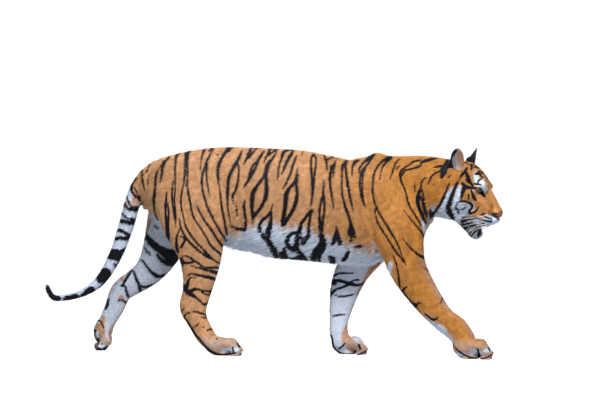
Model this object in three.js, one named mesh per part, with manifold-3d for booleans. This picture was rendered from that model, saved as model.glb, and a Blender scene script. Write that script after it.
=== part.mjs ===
// A walking adult male tiger, life size, as a still display model.
// Millimetres, +Z up, nose towards +X, the animal's left towards +Y, soles on z = 0.
//
// The flesh is one smooth distance field, negative inside: ellipsoids for muscles and
// limbs of elliptical rings, blended together. Each named part is that field meshed over
// the part's own box and then trimmed by flat cuts that leave a thin gap between parts.
import * as THREE from "three";
import { mergeVertices } from "three/addons/utils/BufferGeometryUtils.js";
import Module from "manifold-3d";

const wasm = await Module();
wasm.setup();

// ---------------------------------------------------------------- driving dimensions

const GAP = 0.4; // between neighbouring parts
const SOLE_CUT = 6; // how much of the rounded soles the flats under the feet take off
const EYE_RADIUS = 17.5;
const HEAD_PITCH = 24; // degrees, nose down
const HEAD_YAW = 18; // degrees, towards the animal's right
const HEAD_AT = [847, -45, 795]; // midway between the eyes

// Limbs are rings along a path: [x, y, z, half depth in the side view, half width].
const TRUNK = [
  [-676, 0, 786, 96, 84],
  [-602, 0, 766, 166, 122],
  [-494, 0, 752, 212, 142],
  [-367, 0, 748, 232, 146],
  [-235, 0, 736, 244, 156],
  [-118, 0, 718, 258, 170],
  [0, 0, 710, 260, 177],
  [118, 0, 694, 254, 177],
  [235, 0, 680, 250, 168],
  [338, 0, 692, 256, 158],
  [446, 0, 724, 226, 142],
  [530, -4, 768, 184, 126],
  [580, -10, 796, 156, 118],
  [634, -18, 802, 146, 114],
  [690, -28, 796, 142, 108],
];

const FORE_RIGHT = [
  [392, -96, 816, 100, 46],
  [455, -118, 676, 114, 56],
  [473, -128, 545, 108, 59],
  [500, -122, 437, 92, 55],
  [552, -113, 344, 80, 50],
  [618, -104, 251, 67, 44],
  [674, -96, 188, 59, 41],
  [732, -90, 144, 60, 43],
  [772, -88, 98, 54, 47],
];

const FORE_LEFT = [
  [440, 94, 790, 96, 46],
  [400, 116, 626, 112, 56],
  [324, 118, 508, 104, 57],
  [264, 110, 418, 87, 50],
  [226, 100, 332, 75, 44],
  [205, 92, 243, 60, 40],
  [192, 86, 163, 47, 38],
  [192, 84, 106, 46, 41],
  [204, 84, 66, 43, 44],
];

const HIND_RIGHT = [
  [-520, -88, 766, 160, 62],
  [-488, -112, 630, 158, 66],
  [-463, -124, 518, 120, 62],
  [-456, -125, 443, 98, 55],
  [-461, -122, 372, 81, 48],
  [-472, -117, 301, 68, 42],
  [-488, -112, 225, 64, 38],
  [-466, -107, 160, 50, 36],
  [-430, -104, 96, 47, 42],
  [-402, -102, 62, 40, 44],
];

const HIND_LEFT = [
  [-572, 85, 749, 142, 60],
  [-612, 106, 599, 121, 62],
  [-660, 116, 471, 94, 54],
  [-713, 117, 386, 72, 45],
  [-780, 115, 333, 61, 38],
  [-842, 112, 287, 54, 35],
  [-876, 108, 209, 48, 34],
  [-904, 105, 153, 43, 37],
  [-928, 102, 100, 42, 40],
];

const TAIL = [
  [-620, 0, 862, 52, 46],
  [-668, 0, 856, 50, 44],
  [-720, 0, 824, 46, 42],
  [-762, 0, 772, 43, 40],
  [-788, 0, 707, 40, 38],
  [-803, 2, 648, 39, 37],
  [-825, 4, 571, 37, 35],
  [-853, 6, 486, 34, 33],
  [-895, 8, 400, 30, 30],
  [-933, 10, 343, 27, 27],
  [-978, 12, 303, 23, 23],
  [-1034, 14, 274, 19, 19],
  [-1090, 16, 259, 17, 17],
  [-1147, 18, 254, 16, 16],
  [-1175, 18, 281, 15, 15],
  [-1184, 18, 306, 13, 13],
];

// Muscles of the torso: centre, half sizes, and lean in the side view in degrees.
const MUSCLES = [
  { at: [392, -58, 856], size: [62, 46, 112], lean: -26 }, // right shoulder blade
  { at: [452, 56, 830], size: [56, 42, 104], lean: -30 }, // left shoulder blade
  { at: [520, -112, 640], size: [62, 42, 82], lean: 0 }, // right point of the shoulder
  { at: [428, -138, 590], size: [66, 40, 96], lean: 14 }, // right triceps
  { at: [392, 132, 600], size: [66, 38, 96], lean: 8 }, // left triceps
  { at: [516, 0, 585], size: [68, 84, 116], lean: 0 }, // breast
  { at: [-556, -84, 838], size: [118, 52, 82], lean: 12 }, // right rump
  { at: [-578, 82, 832], size: [116, 50, 82], lean: 12 }, // left rump
  { at: [-420, -150, 640], size: [86, 34, 120], lean: 0 }, // right thigh
  { at: [-588, 132, 660], size: [86, 36, 120], lean: 18 }, // left thigh
  { at: [-300, 0, 575], size: [120, 82, 66], lean: 8 }, // loose skin of the belly
];

const SCROTUM = { at: [-714, 0, 702], size: [29, 25, 32] };

// The head's own frame: f forward along the muzzle, u up, s to the animal's left.
// Shapes with s above 0 stand for a pair.
const SKULL = [
  { at: [-90, 14, 0], size: [92, 82, 90] }, // brain case
  { at: [-34, 24, 0], size: [60, 50, 58] }, // forehead
  { at: [7, 24, 42], size: [32, 22, 26] }, // brow
  { at: [-55, -60, 70], size: [66, 71, 50] }, // cheek
  { at: [-106, -84, 80], size: [60, 84, 54] }, // ruff
  { at: [-96, -108, 0], size: [76, 78, 78] }, // throat
  { at: [38, -60, 41], size: [54, 42, 31] }, // side of the nose
  { at: [90, -100, 30], size: [45, 35, 35] }, // whisker pad
  { at: [54, -128, 38], size: [48, 32, 26] }, // upper lip
  { at: [8, -104, 32], size: [36, 34, 32] }, // corner of the mouth
  { at: [124, -70, 0], size: [16, 19, 24] }, // nose
  { at: [66, -196, 0], size: [25, 27, 36] }, // chin
];
const BRIDGE = { from: [16, 0, 0], to: [104, -55, 0], radii: [33, 24] };
const JAW = { from: [50, -190, 14], to: [-70, -130, 60], radii: [27, 40] };
const EYE_AT = [-4, -5, 52]; // in the head's frame

// Ears: base, direction of the tip and direction that the cup faces, in the head's frame.
const EAR_LENGTH = 60; // half of it, from base to tip
const EAR_WIDTH = 35;
const EAR_DEPTH = 19;
const EAR_RIM = 9; // between the edge of the ear and its cup
const EARS = {
  right: { base: [-126, 40, -76], up: [-0.3, 0.86, -0.42], face: [0.5, 0.2, -0.84] },
  left: { base: [-116, 58, 74], up: [-0.1, 0.9, 0.42], face: [0.55, 0.1, 0.83] },
};

// Paws: where the sole's middle is, how far the toes dip, the toes' spacing, and the size.
const PAWS = {
  foreRight: { at: [802, -88, 0], dip: 0, spread: 32, size: 1.1 },
  foreLeft: { at: [236, 84, 0], dip: 0, spread: 32, size: 0.98 },
  hindRight: { at: [-350, -102, 0], dip: 0, spread: 30, size: 0.97 },
  hindLeft: { at: [-970, 102, 77], dip: 80, spread: 30, size: 0.88 },
};

// A paw at size 1, in its own frame: x forward, y across, z up from the sole.
const PAW = {
  ball: { at: [-16, 0, 52], size: [60, 56, 44] },
  heel: { at: [-2, 0, 18], size: [46, 46, 19] },
  toes: [-1.5, -0.5, 0.5, 1.5], // in spacings from the middle
  longer: 10, // how much further forward the two middle toes reach
  // A toe's joints: x, z, radius, and how far across it stands for its spacing.
  root: { x: -12, z: 66, radius: 25, across: 0.7 },
  knuckle: { x: 34, z: 62, radius: 27, across: 1 },
  tip: { x: 66, z: 33, radius: 21, across: 1.04 },
  pad: { x: 60, z: 13, size: [23, 16, 19], across: 1.02 },
  reach: 170, // nothing of the paw is further than this from its middle
};

// How wide the fillets are where two shapes of the body meet.
const FILLET = {
  muscle: 46,
  leg: 44,
  head: 40,
  tailRoot: 34,
  skull: 22,
  foot: 22,
  ear: 12,
  heel: 12,
  jaw: 10,
  toe: 9,
  cup: 4,
  tail: 4,
};
const TAIL_FREE = 730; // the tail hangs free of the rump below this height
const TAIL_JOINED = 820; // and grows out of it above this one

// The size of the facets of each kind of part.
const FACET = {
  trunk: 67,
  neck: 46,
  upperLeg: 46,
  lowerLeg: 36,
  tailRoot: 34,
  head: 30,
  tailMiddle: 27,
  paw: 24,
  jaw: 22,
  tailTip: 18,
  nose: 17,
  ear: 16,
};
const BALL_FACETS = [10, 6]; // round and from pole to pole, on eyes and other small balls

// ---------------------------------------------------------------- distance fields

const RAD = Math.PI / 180;
const NEAR = 80; // a shape further off than this has no part in any blend
const HEAD_REACH = 330; // nothing of the head is further than this from its middle
const clamp01 = (x) => Math.min(1, Math.max(0, x));
const mix = (a, b, t) => a + (b - a) * t;
const sub = (a, b) => [a[0] - b[0], a[1] - b[1], a[2] - b[2]];
const dot = (a, b) => a[0] * b[0] + a[1] * b[1] + a[2] * b[2];
const cross = (a, b) => [
  a[1] * b[2] - a[2] * b[1],
  a[2] * b[0] - a[0] * b[2],
  a[0] * b[1] - a[1] * b[0],
];
const unit = (a) => a.map((x) => x / Math.hypot(...a));

// The smaller of two distances, with a fillet about k wide where they meet.
function blend(a, b, k) {
  const h = Math.max(k - Math.abs(a - b), 0) / k;
  return Math.min(a, b) - (h * h * k) / 4;
}

// Distance to a rounded box-like ellipsoid; power 2 is a true ellipsoid.
function ovalDistance(offsets, sizes, power) {
  let sum = 0;
  for (let i = 0; i < 3; i++) sum += Math.abs(offsets[i] / sizes[i]) ** power;
  const level = sum ** (1 / power);
  if (level < 1e-4) return -Math.min(...sizes);
  let slope = 0;
  for (let i = 0; i < 3; i++) {
    const part = Math.abs(offsets[i] / sizes[i]) ** (power - 1) / sizes[i];
    slope += (part * level ** (1 - power)) ** 2;
  }
  return (level - 1) / Math.sqrt(slope);
}

// The field of a shape, or only the distance to its box where the shape is far away.
function nearby(low, high, field) {
  return (p) => {
    let far = 0;
    for (let i = 0; i < 3; i++) far = Math.max(far, low[i] - p[i], p[i] - high[i]);
    return far > NEAR ? far : field(p);
  };
}

// An ellipsoid that leans forward in the side view by some degrees.
function oval({ at, size, lean = 0 }) {
  const c = Math.cos(lean * RAD);
  const s = Math.sin(lean * RAD);
  const most = Math.max(...size);
  return nearby(at.map((x) => x - most), at.map((x) => x + most), (p) => {
    const d = sub(p, at);
    return ovalDistance([c * d[0] - s * d[2], d[1], s * d[0] + c * d[2]], size, 2);
  });
}

// A straight bar with round ends and a radius that changes along it.
function bar(from, to, radii) {
  const axis = sub(to, from);
  return (p) => {
    const t = clamp01(dot(sub(p, from), axis) / dot(axis, axis));
    const near = from.map((x, i) => mix(x, to[i], t));
    return Math.hypot(...sub(p, near)) - mix(radii[0], radii[1], t);
  };
}

// Extra rings between the given ones, on a smooth curve through them.
function smoothRings(rings, steps) {
  const at = (i) => rings[Math.min(rings.length - 1, Math.max(0, i))];
  const out = [];
  for (let i = 0; i < rings.length - 1; i++) {
    for (let j = 0; j < steps; j++) {
      const t = j / steps;
      const [a, b, c, d] = [at(i - 1), at(i), at(i + 1), at(i + 2)];
      out.push(
        b.map(
          (x, n) =>
            x +
            0.5 * t * (c[n] - a[n] + t * (2 * a[n] - 5 * x + 4 * c[n] - d[n] +
              t * (3 * (x - c[n]) + d[n] - a[n]))),
        ),
      );
    }
  }
  out.push(at(rings.length - 1));
  return out;
}

// A limb whose section is an ellipse, with its rings square to the path, or upright.
function limb(rings, { steps = 3, power = 2, upright = false } = {}) {
  const all = smoothRings(rings, steps);
  const links = all.slice(1).map((end, i) => {
    const start = all[i];
    const axis = sub(end, start).slice(0, 3);
    const measure = upright ? [axis[0], 0, 0] : axis;
    const along = unit(measure);
    const side = unit(sub([0, 1, 0], along.map((x) => x * along[1])));
    return { start, end, axis, measure, along, side, over: cross(along, side) };
  });
  const low = [0, 1, 2].map((i) => Math.min(...all.map((ring) => ring[i] - ring[3])));
  const high = [0, 1, 2].map((i) => Math.max(...all.map((ring) => ring[i] + ring[3])));
  return nearby(low, high, (p) => {
    let least = Infinity;
    for (const { start, end, axis, measure, along, side, over } of links) {
      const q = sub(p, start);
      const t = clamp01(dot(q, measure) / dot(measure, measure));
      const d = sub(q, axis.map((x) => x * t));
      const deep = mix(start[3], end[3], t);
      const wide = mix(start[4], end[4], t);
      const offsets = [dot(d, along), dot(d, side), dot(d, over)];
      least = Math.min(least, ovalDistance(offsets, [Math.min(deep, wide), wide, deep], power));
    }
    return least;
  });
}

// ---------------------------------------------------------------- head

const headAxes = (() => {
  const [cp, sp] = [Math.cos(HEAD_PITCH * RAD), Math.sin(HEAD_PITCH * RAD)];
  const [cy, sy] = [Math.cos(HEAD_YAW * RAD), Math.sin(HEAD_YAW * RAD)];
  return [
    [cp * cy, -cp * sy, -sp],
    [sp * cy, -sp * sy, cp],
    [sy, cy, 0],
  ];
})();

const toHead = (p) => headAxes.map((axis) => dot(sub(p, HEAD_AT), axis));
const fromHead = (q) =>
  HEAD_AT.map((x, i) => x + q[0] * headAxes[0][i] + q[1] * headAxes[1][i] + q[2] * headAxes[2][i]);
const headWay = (q) =>
  unit([0, 1, 2].map((i) => q[0] * headAxes[0][i] + q[1] * headAxes[1][i] + q[2] * headAxes[2][i]));

// An ear: a leaf-shaped lobe with its cup scooped out.
function ear({ base, up, face }) {
  const tip = unit(up);
  const wide = unit(cross(tip, face));
  const out = cross(wide, tip);
  const middle = base.map((x, i) => x + tip[i] * EAR_LENGTH * 0.8);
  const axes = [tip, wide, out];
  const scoop = middle.map((x, i) => x + out[i] * EAR_DEPTH * 0.95 + tip[i] * 2);
  const hollow = [EAR_LENGTH - EAR_RIM, EAR_WIDTH - EAR_RIM, EAR_DEPTH];
  return (q) => {
    const lobe = axes.map((axis) => dot(sub(q, middle), axis));
    const inner = axes.map((axis) => dot(sub(q, scoop), axis));
    const outside = ovalDistance(lobe, [EAR_LENGTH, EAR_WIDTH, EAR_DEPTH], 2);
    const cup = ovalDistance(inner, hollow, 2);
    return -blend(-outside, cup, FILLET.cup);
  };
}

const skull = SKULL.map((shape) => ({
  pair: shape.at[2] > 0,
  distance: (q) => ovalDistance(sub(q, shape.at), shape.size, 2),
}));
const bridge = bar(BRIDGE.from, BRIDGE.to, BRIDGE.radii);
const jaw = bar(JAW.from, JAW.to, JAW.radii);
const ears = Object.values(EARS).map(ear);

function head(p) {
  const q = toHead(p);
  const out = Math.hypot(...q) - HEAD_REACH;
  if (out > NEAR) return out;
  const folded = [q[0], q[1], Math.abs(q[2])];
  let d = blend(bridge(q), jaw(folded), FILLET.jaw);
  for (const { pair, distance } of skull) {
    d = blend(d, distance(pair ? folded : q), FILLET.skull);
  }
  for (const one of ears) d = blend(d, one(q), FILLET.ear);
  return d;
}

// ---------------------------------------------------------------- paws

// One toe: a bar from the foot to its knuckle, one down to its tip, and the pad under it.
function toe(place, spread) {
  const longer = Math.abs(place) < 1 ? PAW.longer : 0;
  const point = ({ x, z, across }, ahead) => [x + ahead, place * spread * across, z];
  const knuckle = point(PAW.knuckle, longer);
  const pad = point(PAW.pad, longer);
  return [
    bar(point(PAW.root, 0), knuckle, [PAW.root.radius, PAW.knuckle.radius]),
    bar(knuckle, point(PAW.tip, longer), [PAW.knuckle.radius, PAW.tip.radius]),
    (q) => ovalDistance(sub(q, pad), PAW.pad.size, 2),
  ];
}

// Four toes with their pads, the ball of the foot and the pad under it.
function paw({ at, dip, spread, size }) {
  const inverse = new THREE.Matrix4().makeRotationY(-dip * RAD).elements;
  const toes = PAW.toes.flatMap((place) => toe(place, spread));
  const ball = (q) => ovalDistance(sub(q, PAW.ball.at), PAW.ball.size, 2);
  const heel = (q) => ovalDistance(sub(q, PAW.heel.at), PAW.heel.size, 2);
  return (p) => {
    const d = sub(p, at);
    const q = [0, 1, 2].map(
      (i) => (inverse[i] * d[0] + inverse[i + 4] * d[1] + inverse[i + 8] * d[2]) / size,
    );
    const out = Math.hypot(...q) - PAW.reach;
    if (out > NEAR) return out * size;
    let foot = blend(ball(q), heel(q), FILLET.heel);
    for (const shape of toes) foot = blend(foot, shape(q), FILLET.toe);
    return foot * size;
  };
}

// ---------------------------------------------------------------- the whole animal

const trunk = limb(TRUNK, { power: 2.2, upright: true });
const muscles = MUSCLES.map(oval);
const tail = limb(TAIL, { steps: 2 });
const legs = {
  foreRight: limb(FORE_RIGHT),
  foreLeft: limb(FORE_LEFT),
  hindRight: limb(HIND_RIGHT),
  hindLeft: limb(HIND_LEFT),
};
const paws = Object.fromEntries(Object.entries(PAWS).map(([key, value]) => [key, paw(value)]));

const leg = (key, p) => blend(legs[key](p), paws[key](p), FILLET.foot);

function body(p) {
  let torso = trunk(p);
  for (const muscle of muscles) torso = blend(torso, muscle(p), FILLET.muscle);
  // Each side takes in its own two legs, so that no web grows between left and right.
  const side = (names) =>
    names.reduce((flesh, name) => blend(flesh, leg(name, p), FILLET.leg), torso);
  const flesh = Math.min(side(["foreRight", "hindRight"]), side(["foreLeft", "hindLeft"]));
  return blend(flesh, head(p), FILLET.head);
}

// The tail hangs clear of the rump, so it is blended in only near its root.
function rumpAndTail(p) {
  const root = clamp01((p[2] - TAIL_FREE) / (TAIL_JOINED - TAIL_FREE));
  return blend(body(p), tail(p), mix(FILLET.tail, FILLET.tailRoot, root));
}

// ---------------------------------------------------------------- meshing

const SETTLE_ROUNDS = 4;
const SLOPE_STEP = 0.5;

// A point moved along the field's slope until it lies on the surface, no further than
// reach each round.
function settle(field, p, reach) {
  for (let round = 0; round < SETTLE_ROUNDS; round++) {
    const d = field(p);
    const slope = [0, 1, 2].map((i) => {
      const q = [...p];
      q[i] += SLOPE_STEP;
      return (field(q) - d) / SLOPE_STEP;
    });
    const steepness = Math.sqrt(Math.max(dot(slope, slope), 0.05));
    const move = Math.max(-reach, Math.min(reach, d / steepness));
    p = p.map((x, i) => x - (move * slope[i]) / steepness);
  }
  return p;
}

// Calls visit(i, j, k) for each whole number below the three counts.
function eachCell(counts, visit) {
  for (let k = 0; k < counts[2]; k++)
    for (let j = 0; j < counts[1]; j++)
      for (let i = 0; i < counts[0]; i++) visit(i, j, k);
}

// A field's values on a grid over a box, inside one layer of values that count as outside.
function sampleGrid(field, low, high, cell) {
  const count = low.map((x, i) => Math.ceil((high[i] - x) / cell) + 3);
  const place = (i, j, k) => [i, j, k].map((n, axis) => low[axis] + (n - 1) * cell);
  const index = (i, j, k) => (k * count[1] + j) * count[0] + i;
  const rim = (i, j, k) => [i, j, k].some((n, axis) => n === 0 || n === count[axis] - 1);
  const values = new Float64Array(count[0] * count[1] * count[2]);
  eachCell(count, (i, j, k) => {
    values[index(i, j, k)] = rim(i, j, k) ? cell : field(place(i, j, k));
  });
  const step = [1, count[0], count[0] * count[1]];
  return { cells: count.map((n) => n - 1), place, index, values, step, low, high, cell };
}

// Two sheets that would share an edge or a corner of the grid are parted or joined there,
// by turning the weakest value of the square or the cell that they share.
const MOST_ROUNDS = 20;
function partSheets({ values, step }) {
  const inside = (n) => values[n] < 0;
  const turn = (group) => {
    const weakest = group.reduce((a, b) => (Math.abs(values[b]) < Math.abs(values[a]) ? b : a));
    values[weakest] = inside(weakest) ? 1e-3 : -1e-3;
  };
  const [x, y, z] = step;
  const squares = [[x, y], [y, z], [x, z]];
  const diagonals = [[0, x + y + z], [x, y + z], [y, x + z], [z, x + y]];
  const corners = [0, x, y, x + y, z, x + z, y + z, x + y + z];
  for (let round = 0; round < MOST_ROUNDS; round++) {
    let turned = 0;
    for (let n = 0; n < values.length - x - y - z; n++) {
      for (const [a, b] of squares) {
        const square = [n, n + a + b, n + a, n + b];
        const [first, second, third, fourth] = square.map(inside);
        if (first !== second || third !== fourth || first === third) continue;
        turn(square);
        turned++;
      }
      const count = corners.filter((corner) => inside(n + corner)).length;
      if (count !== 2 && count !== 6) continue;
      for (const [a, b] of diagonals) {
        if (inside(n + a) !== (count === 2) || inside(n + b) !== (count === 2)) continue;
        turn([n + a, n + b]);
        turned++;
      }
    }
    if (!turned) return;
  }
}

// A cell's eight corners and the twelve edges between them.
const CORNERS = [...Array(8).keys()].map((n) => [n & 1, (n >> 1) & 1, n >> 2]);
const EDGES = CORNERS.flatMap((_, n) =>
  [1, 2, 4].filter((bit) => !(n & bit)).map((bit) => [n, n | bit]));

// One vertex in each cell that the surface crosses: the middle of the crossings, settled
// onto the surface.
function cellVertices(field, { cells, place, index, values, low, high, cell }) {
  const points = [];
  const vertexOf = new Map();
  eachCell(cells, (i, j, k) => {
    const value = CORNERS.map(([a, b, c]) => values[index(i + a, j + b, k + c)]);
    const crossed = EDGES.filter(([a, b]) => value[a] < 0 !== value[b] < 0);
    if (!crossed.length) return;
    const sum = [0, 0, 0];
    for (const [a, b] of crossed) {
      const t = value[a] / (value[a] - value[b]);
      for (let n = 0; n < 3; n++) sum[n] += mix(CORNERS[a][n], CORNERS[b][n], t);
    }
    const base = place(i, j, k);
    const guess = base.map((x, n) => x + (sum[n] / crossed.length) * cell);
    const within = base.every((x, n) => x > low[n] - cell / 2 && x < high[n] - cell / 2);
    vertexOf.set(index(i, j, k), points.length);
    points.push(within ? settle(field, guess, cell / 3) : guess);
  });
  return { points, vertexOf };
}

// The surface of a field inside a box: two triangles across each crossed edge of the grid.
function meshField(field, low, high, cell) {
  const grid = sampleGrid(field, low, high, cell);
  partSheets(grid);
  const { points, vertexOf } = cellVertices(field, grid);
  const far = (a, b) => Math.hypot(...sub(points[a], points[b]));
  const triangles = [];
  eachCell(grid.cells, (i, j, k) => {
    const here = grid.index(i, j, k);
    const inside = grid.values[here] < 0;
    for (let axis = 0; axis < 3; axis++) {
      if (inside === grid.values[here + grid.step[axis]] < 0) continue;
      const [u, v] = [grid.step[(axis + 1) % 3], grid.step[(axis + 2) % 3]];
      const ring = [here, here - u, here - u - v, here - v].map((n) => vertexOf.get(n));
      const [a, b, c, d] = inside ? ring : ring.reverse();
      if (far(a, c) < far(b, d)) triangles.push(a, b, c, a, c, d);
      else triangles.push(a, b, d, b, c, d);
    }
  });
  return new wasm.Manifold(
    new wasm.Mesh({
      numProp: 3,
      vertProperties: new Float32Array(points.flat()),
      triVerts: new Uint32Array(triangles),
    }),
  );
}

function solidOf(geometry) {
  const bare = geometry.clone();
  for (const name of Object.keys(bare.attributes))
    if (name !== "position") bare.deleteAttribute(name);
  const merged = mergeVertices(bare, 1e-4);
  return new wasm.Manifold(
    new wasm.Mesh({
      numProp: 3,
      vertProperties: merged.attributes.position.array,
      triVerts: new Uint32Array(merged.index.array),
    }),
  );
}

function geometryOf(solid) {
  const mesh = solid.getMesh();
  const position = new Float32Array(mesh.numVert * 3);
  for (let i = 0; i < mesh.numVert; i++)
    position.set(mesh.vertProperties.subarray(i * mesh.numProp, i * mesh.numProp + 3), i * 3);
  const geometry = new THREE.BufferGeometry();
  geometry.setAttribute("position", new THREE.BufferAttribute(position, 3));
  geometry.setIndex(new THREE.BufferAttribute(mesh.triVerts, 1));
  geometry.computeVertexNormals();
  return geometry;
}

// ---------------------------------------------------------------- cuts

const BLOCK = 5000; // the side of a block that stands for half of all space
const BELOW_GROUND = -40; // the bottom of the rooms that hold the legs

// Everything on the side of a plane that its normal points to, less half a gap.
function beyond({ at, normal }, way = 1, inset = GAP / 2) {
  const facing = new THREE.Vector3(...normal).normalize().multiplyScalar(way);
  const block = new THREE.BoxGeometry(BLOCK, BLOCK, BLOCK);
  block.translate(0, 0, BLOCK / 2 + inset);
  block.applyQuaternion(
    new THREE.Quaternion().setFromUnitVectors(new THREE.Vector3(0, 0, 1), facing),
  );
  block.translate(...at);
  return solidOf(block);
}

const before = (plane) => beyond(plane, -1);

// The room of the lower jaw, below the mouth and ahead of its corners.
const jawRoom = (inset) =>
  beyond(CUTS.mouth, 1, inset).intersect(beyond(CUTS.mouthCorner, 1, inset));

// The plane square to a limb's path at one of its rings, facing down the limb.
function across(rings, index, tilt = 0) {
  const from = rings[Math.max(0, index - 1)];
  const to = rings[Math.min(rings.length - 1, index + 1)];
  const normal = sub(to, from);
  const turned = new THREE.Vector3(...normal).applyAxisAngle(
    new THREE.Vector3(0, 1, 0),
    tilt * RAD,
  );
  return { at: rings[index].slice(0, 3), normal: turned.toArray() };
}

const inHead = (at, normal) => ({ at: fromHead(at), normal: headWay(normal) });

const CUTS = {
  ground: { at: [0, 0, SOLE_CUT - GAP / 2], normal: [0, 0, 1] },
  nape: { at: [668, -10, 800], normal: [0.97, -0.22, -0.06] },
  neckBase: { at: [505, 0, 790], normal: [0.92, 0, 0.38] },
  ribs: { at: [150, 0, 700], normal: [1, 0, 0] },
  loin: { at: [-300, 0, 700], normal: [1, 0, 0] },
  tailRoot: { at: [-750, 0, 790], normal: [-1, 0, 0] },
  tailMiddle: across(TAIL, 7),
  tailTip: across(TAIL, 11),
  mouth: inHead([40, -166, 0], [-0.16, -1, 0]),
  mouthCorner: inHead([2, -160, 0], [1, -0.25, 0]),
  nose: inHead([128, -68, 0], [1, -0.3, 0]),
  earRight: inHead([-132, 84, -80], EARS.right.up),
  earLeft: inHead([-124, 84, 80], EARS.left.up),
};

// Each leg's rings at its two cuts, and the slanting plane and the stretch of the trunk
// under which it leaves the trunk.
const LEGS = {
  fore_right: {
    rings: FORE_RIGHT, elbow: 3, wrist: 6, tilt: 0, side: -1, under: [345, 700],
    root: { at: [450, -60, 446], normal: [0, -0.72, -0.69] },
  },
  fore_left: {
    rings: FORE_LEFT, elbow: 3, wrist: 6, tilt: 0, side: 1, under: [180, 480],
    root: { at: [300, 60, 440], normal: [0, 0.72, -0.69] },
  },
  hind_right: {
    rings: HIND_RIGHT, elbow: 3, wrist: 6, tilt: -18, side: -1, under: [-680, -325],
    root: { at: [-450, -40, 540], normal: [0, -0.72, -0.69] },
  },
  hind_left: {
    rings: HIND_LEFT, elbow: 3, wrist: 6, tilt: -14, side: 1, under: [-800, -520],
    root: { at: [-620, 40, 560], normal: [0, 0.72, -0.69] },
  },
};
const INNER = 24; // how close to the middle plane a leg may come
const OUTER = 300;
const FOOT_REACH = 180; // how far a paw may stand out past the last ring

function boxBetween(low, high, grow) {
  const size = sub(high, low).map((x) => x + 2 * grow);
  const box = new THREE.BoxGeometry(...size);
  box.translate(...low.map((x, i) => (x + high[i]) / 2));
  return solidOf(box);
}

// The box that holds one leg, from its root or from its upper cut downwards.
function legBox({ rings, side, under, elbow }, whole) {
  const xs = rings.slice(whole ? 0 : elbow).map((ring) => ring[0]);
  const ys = [side * INNER, side * OUTER].sort((a, b) => a - b);
  const x = whole ? under : [Math.min(...xs) - FOOT_REACH, Math.max(...xs) + FOOT_REACH];
  const top = rings[whole ? 0 : elbow][2];
  return [[x[0], ys[0], BELOW_GROUND], [x[1], ys[1], top]];
}

// The rooms of a leg's upper part and of all below it, grown where others clear them.
function legRoom(one, grow) {
  const facing = new THREE.Vector3(...one.root.normal).normalize();
  const at = one.root.at.map((x, i) => x - facing.getComponent(i) * (grow + GAP / 2));
  const box = boxBetween(...legBox(one, true), grow);
  return box.intersect(beyond({ at, normal: one.root.normal }));
}

function lowerRoom(one, grow) {
  const box = boxBetween(...legBox(one, false), grow);
  return box.intersect(beyond(across(one.rings, one.elbow), 1, -grow));
}

// ---------------------------------------------------------------- parts

const COLOURS = {
  orange: { color: 0xc8843c, roughness: 0.85, metalness: 0 },
  white: { color: 0xd8d6d2, roughness: 0.85, metalness: 0 },
  tail: { color: 0xb9a894, roughness: 0.85, metalness: 0 },
  eye: { color: 0xb98a2e, roughness: 0.15, metalness: 0 },
  nose: { color: 0xa8605a, roughness: 0.5, metalness: 0 },
};
const finishes = Object.fromEntries(
  Object.entries(COLOURS).map(([key, value]) => [key, new THREE.MeshStandardMaterial(value)]),
);

const tiger = new THREE.Group();
tiger.name = "tiger";

function addPart(name, solid, finish) {
  const mesh = new THREE.Mesh(geometryOf(solid), finishes[finish]);
  mesh.name = name;
  tiger.add(mesh);
}

// The largest body of a solid, so that no crumb is left beside a cut.
function mainBody(solid) {
  const bodies = solid.decompose();
  return bodies.reduce((best, body) => (body.volume() > best.volume() ? body : best));
}

// A part of the flesh: meshed over its box, kept in all the rooms of keep, out of those of
// drop. The mesh is blunt at its box, so it is made larger and cut back.
function fleshPart(name, { facet, box, keep, drop = [], finish = "orange", field = body }) {
  const [low, high] = box;
  const margin = 1.5 * facet;
  const outer = [low.map((x) => x - margin), high.map((x) => x + margin)];
  let solid = meshField(field, ...outer, facet).intersect(boxBetween(low, high, 0));
  for (const room of keep) solid = solid.intersect(room);
  for (const room of drop) solid = solid.subtract(room);
  addPart(name, mainBody(solid), finish);
}

// A ball stretched to half sizes.
function ballAt(at, size) {
  const sphere = new THREE.SphereGeometry(1, ...BALL_FACETS);
  sphere.rotateX(Math.PI / 2);
  sphere.scale(...size);
  sphere.translate(...at);
  return solidOf(sphere);
}

const around = (at, reach) => [at.map((x) => x - reach), at.map((x) => x + reach)];

const clearOfLegs = Object.values(LEGS).flatMap((one) => [
  legRoom(one, GAP),
  lowerRoom(one, GAP),
]);
const scrotumRoom = ballAt(SCROTUM.at, SCROTUM.size.map((x) => x + GAP));

fleshPart("chest", {
  facet: FACET.trunk,
  box: [[110, -260, 380], [640, 260, 1010]],
  keep: [beyond(CUTS.ribs), before(CUTS.neckBase)],
  drop: clearOfLegs,
});
fleshPart("abdomen", {
  facet: FACET.trunk,
  box: [[-340, -260, 400], [190, 260, 1030]],
  keep: [beyond(CUTS.loin), before(CUTS.ribs)],
  drop: clearOfLegs,
});
fleshPart("pelvis", {
  facet: FACET.trunk,
  box: [[-800, -260, 420], [-260, 260, 1030]],
  keep: [before(CUTS.loin), before(CUTS.tailRoot)],
  drop: [...clearOfLegs, scrotumRoom],
  field: rumpAndTail,
});
fleshPart("neck", {
  facet: FACET.neck,
  box: [[440, -240, 560], [800, 240, 1010]],
  keep: [beyond(CUTS.neckBase), before(CUTS.nape)],
  drop: clearOfLegs,
});

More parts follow.
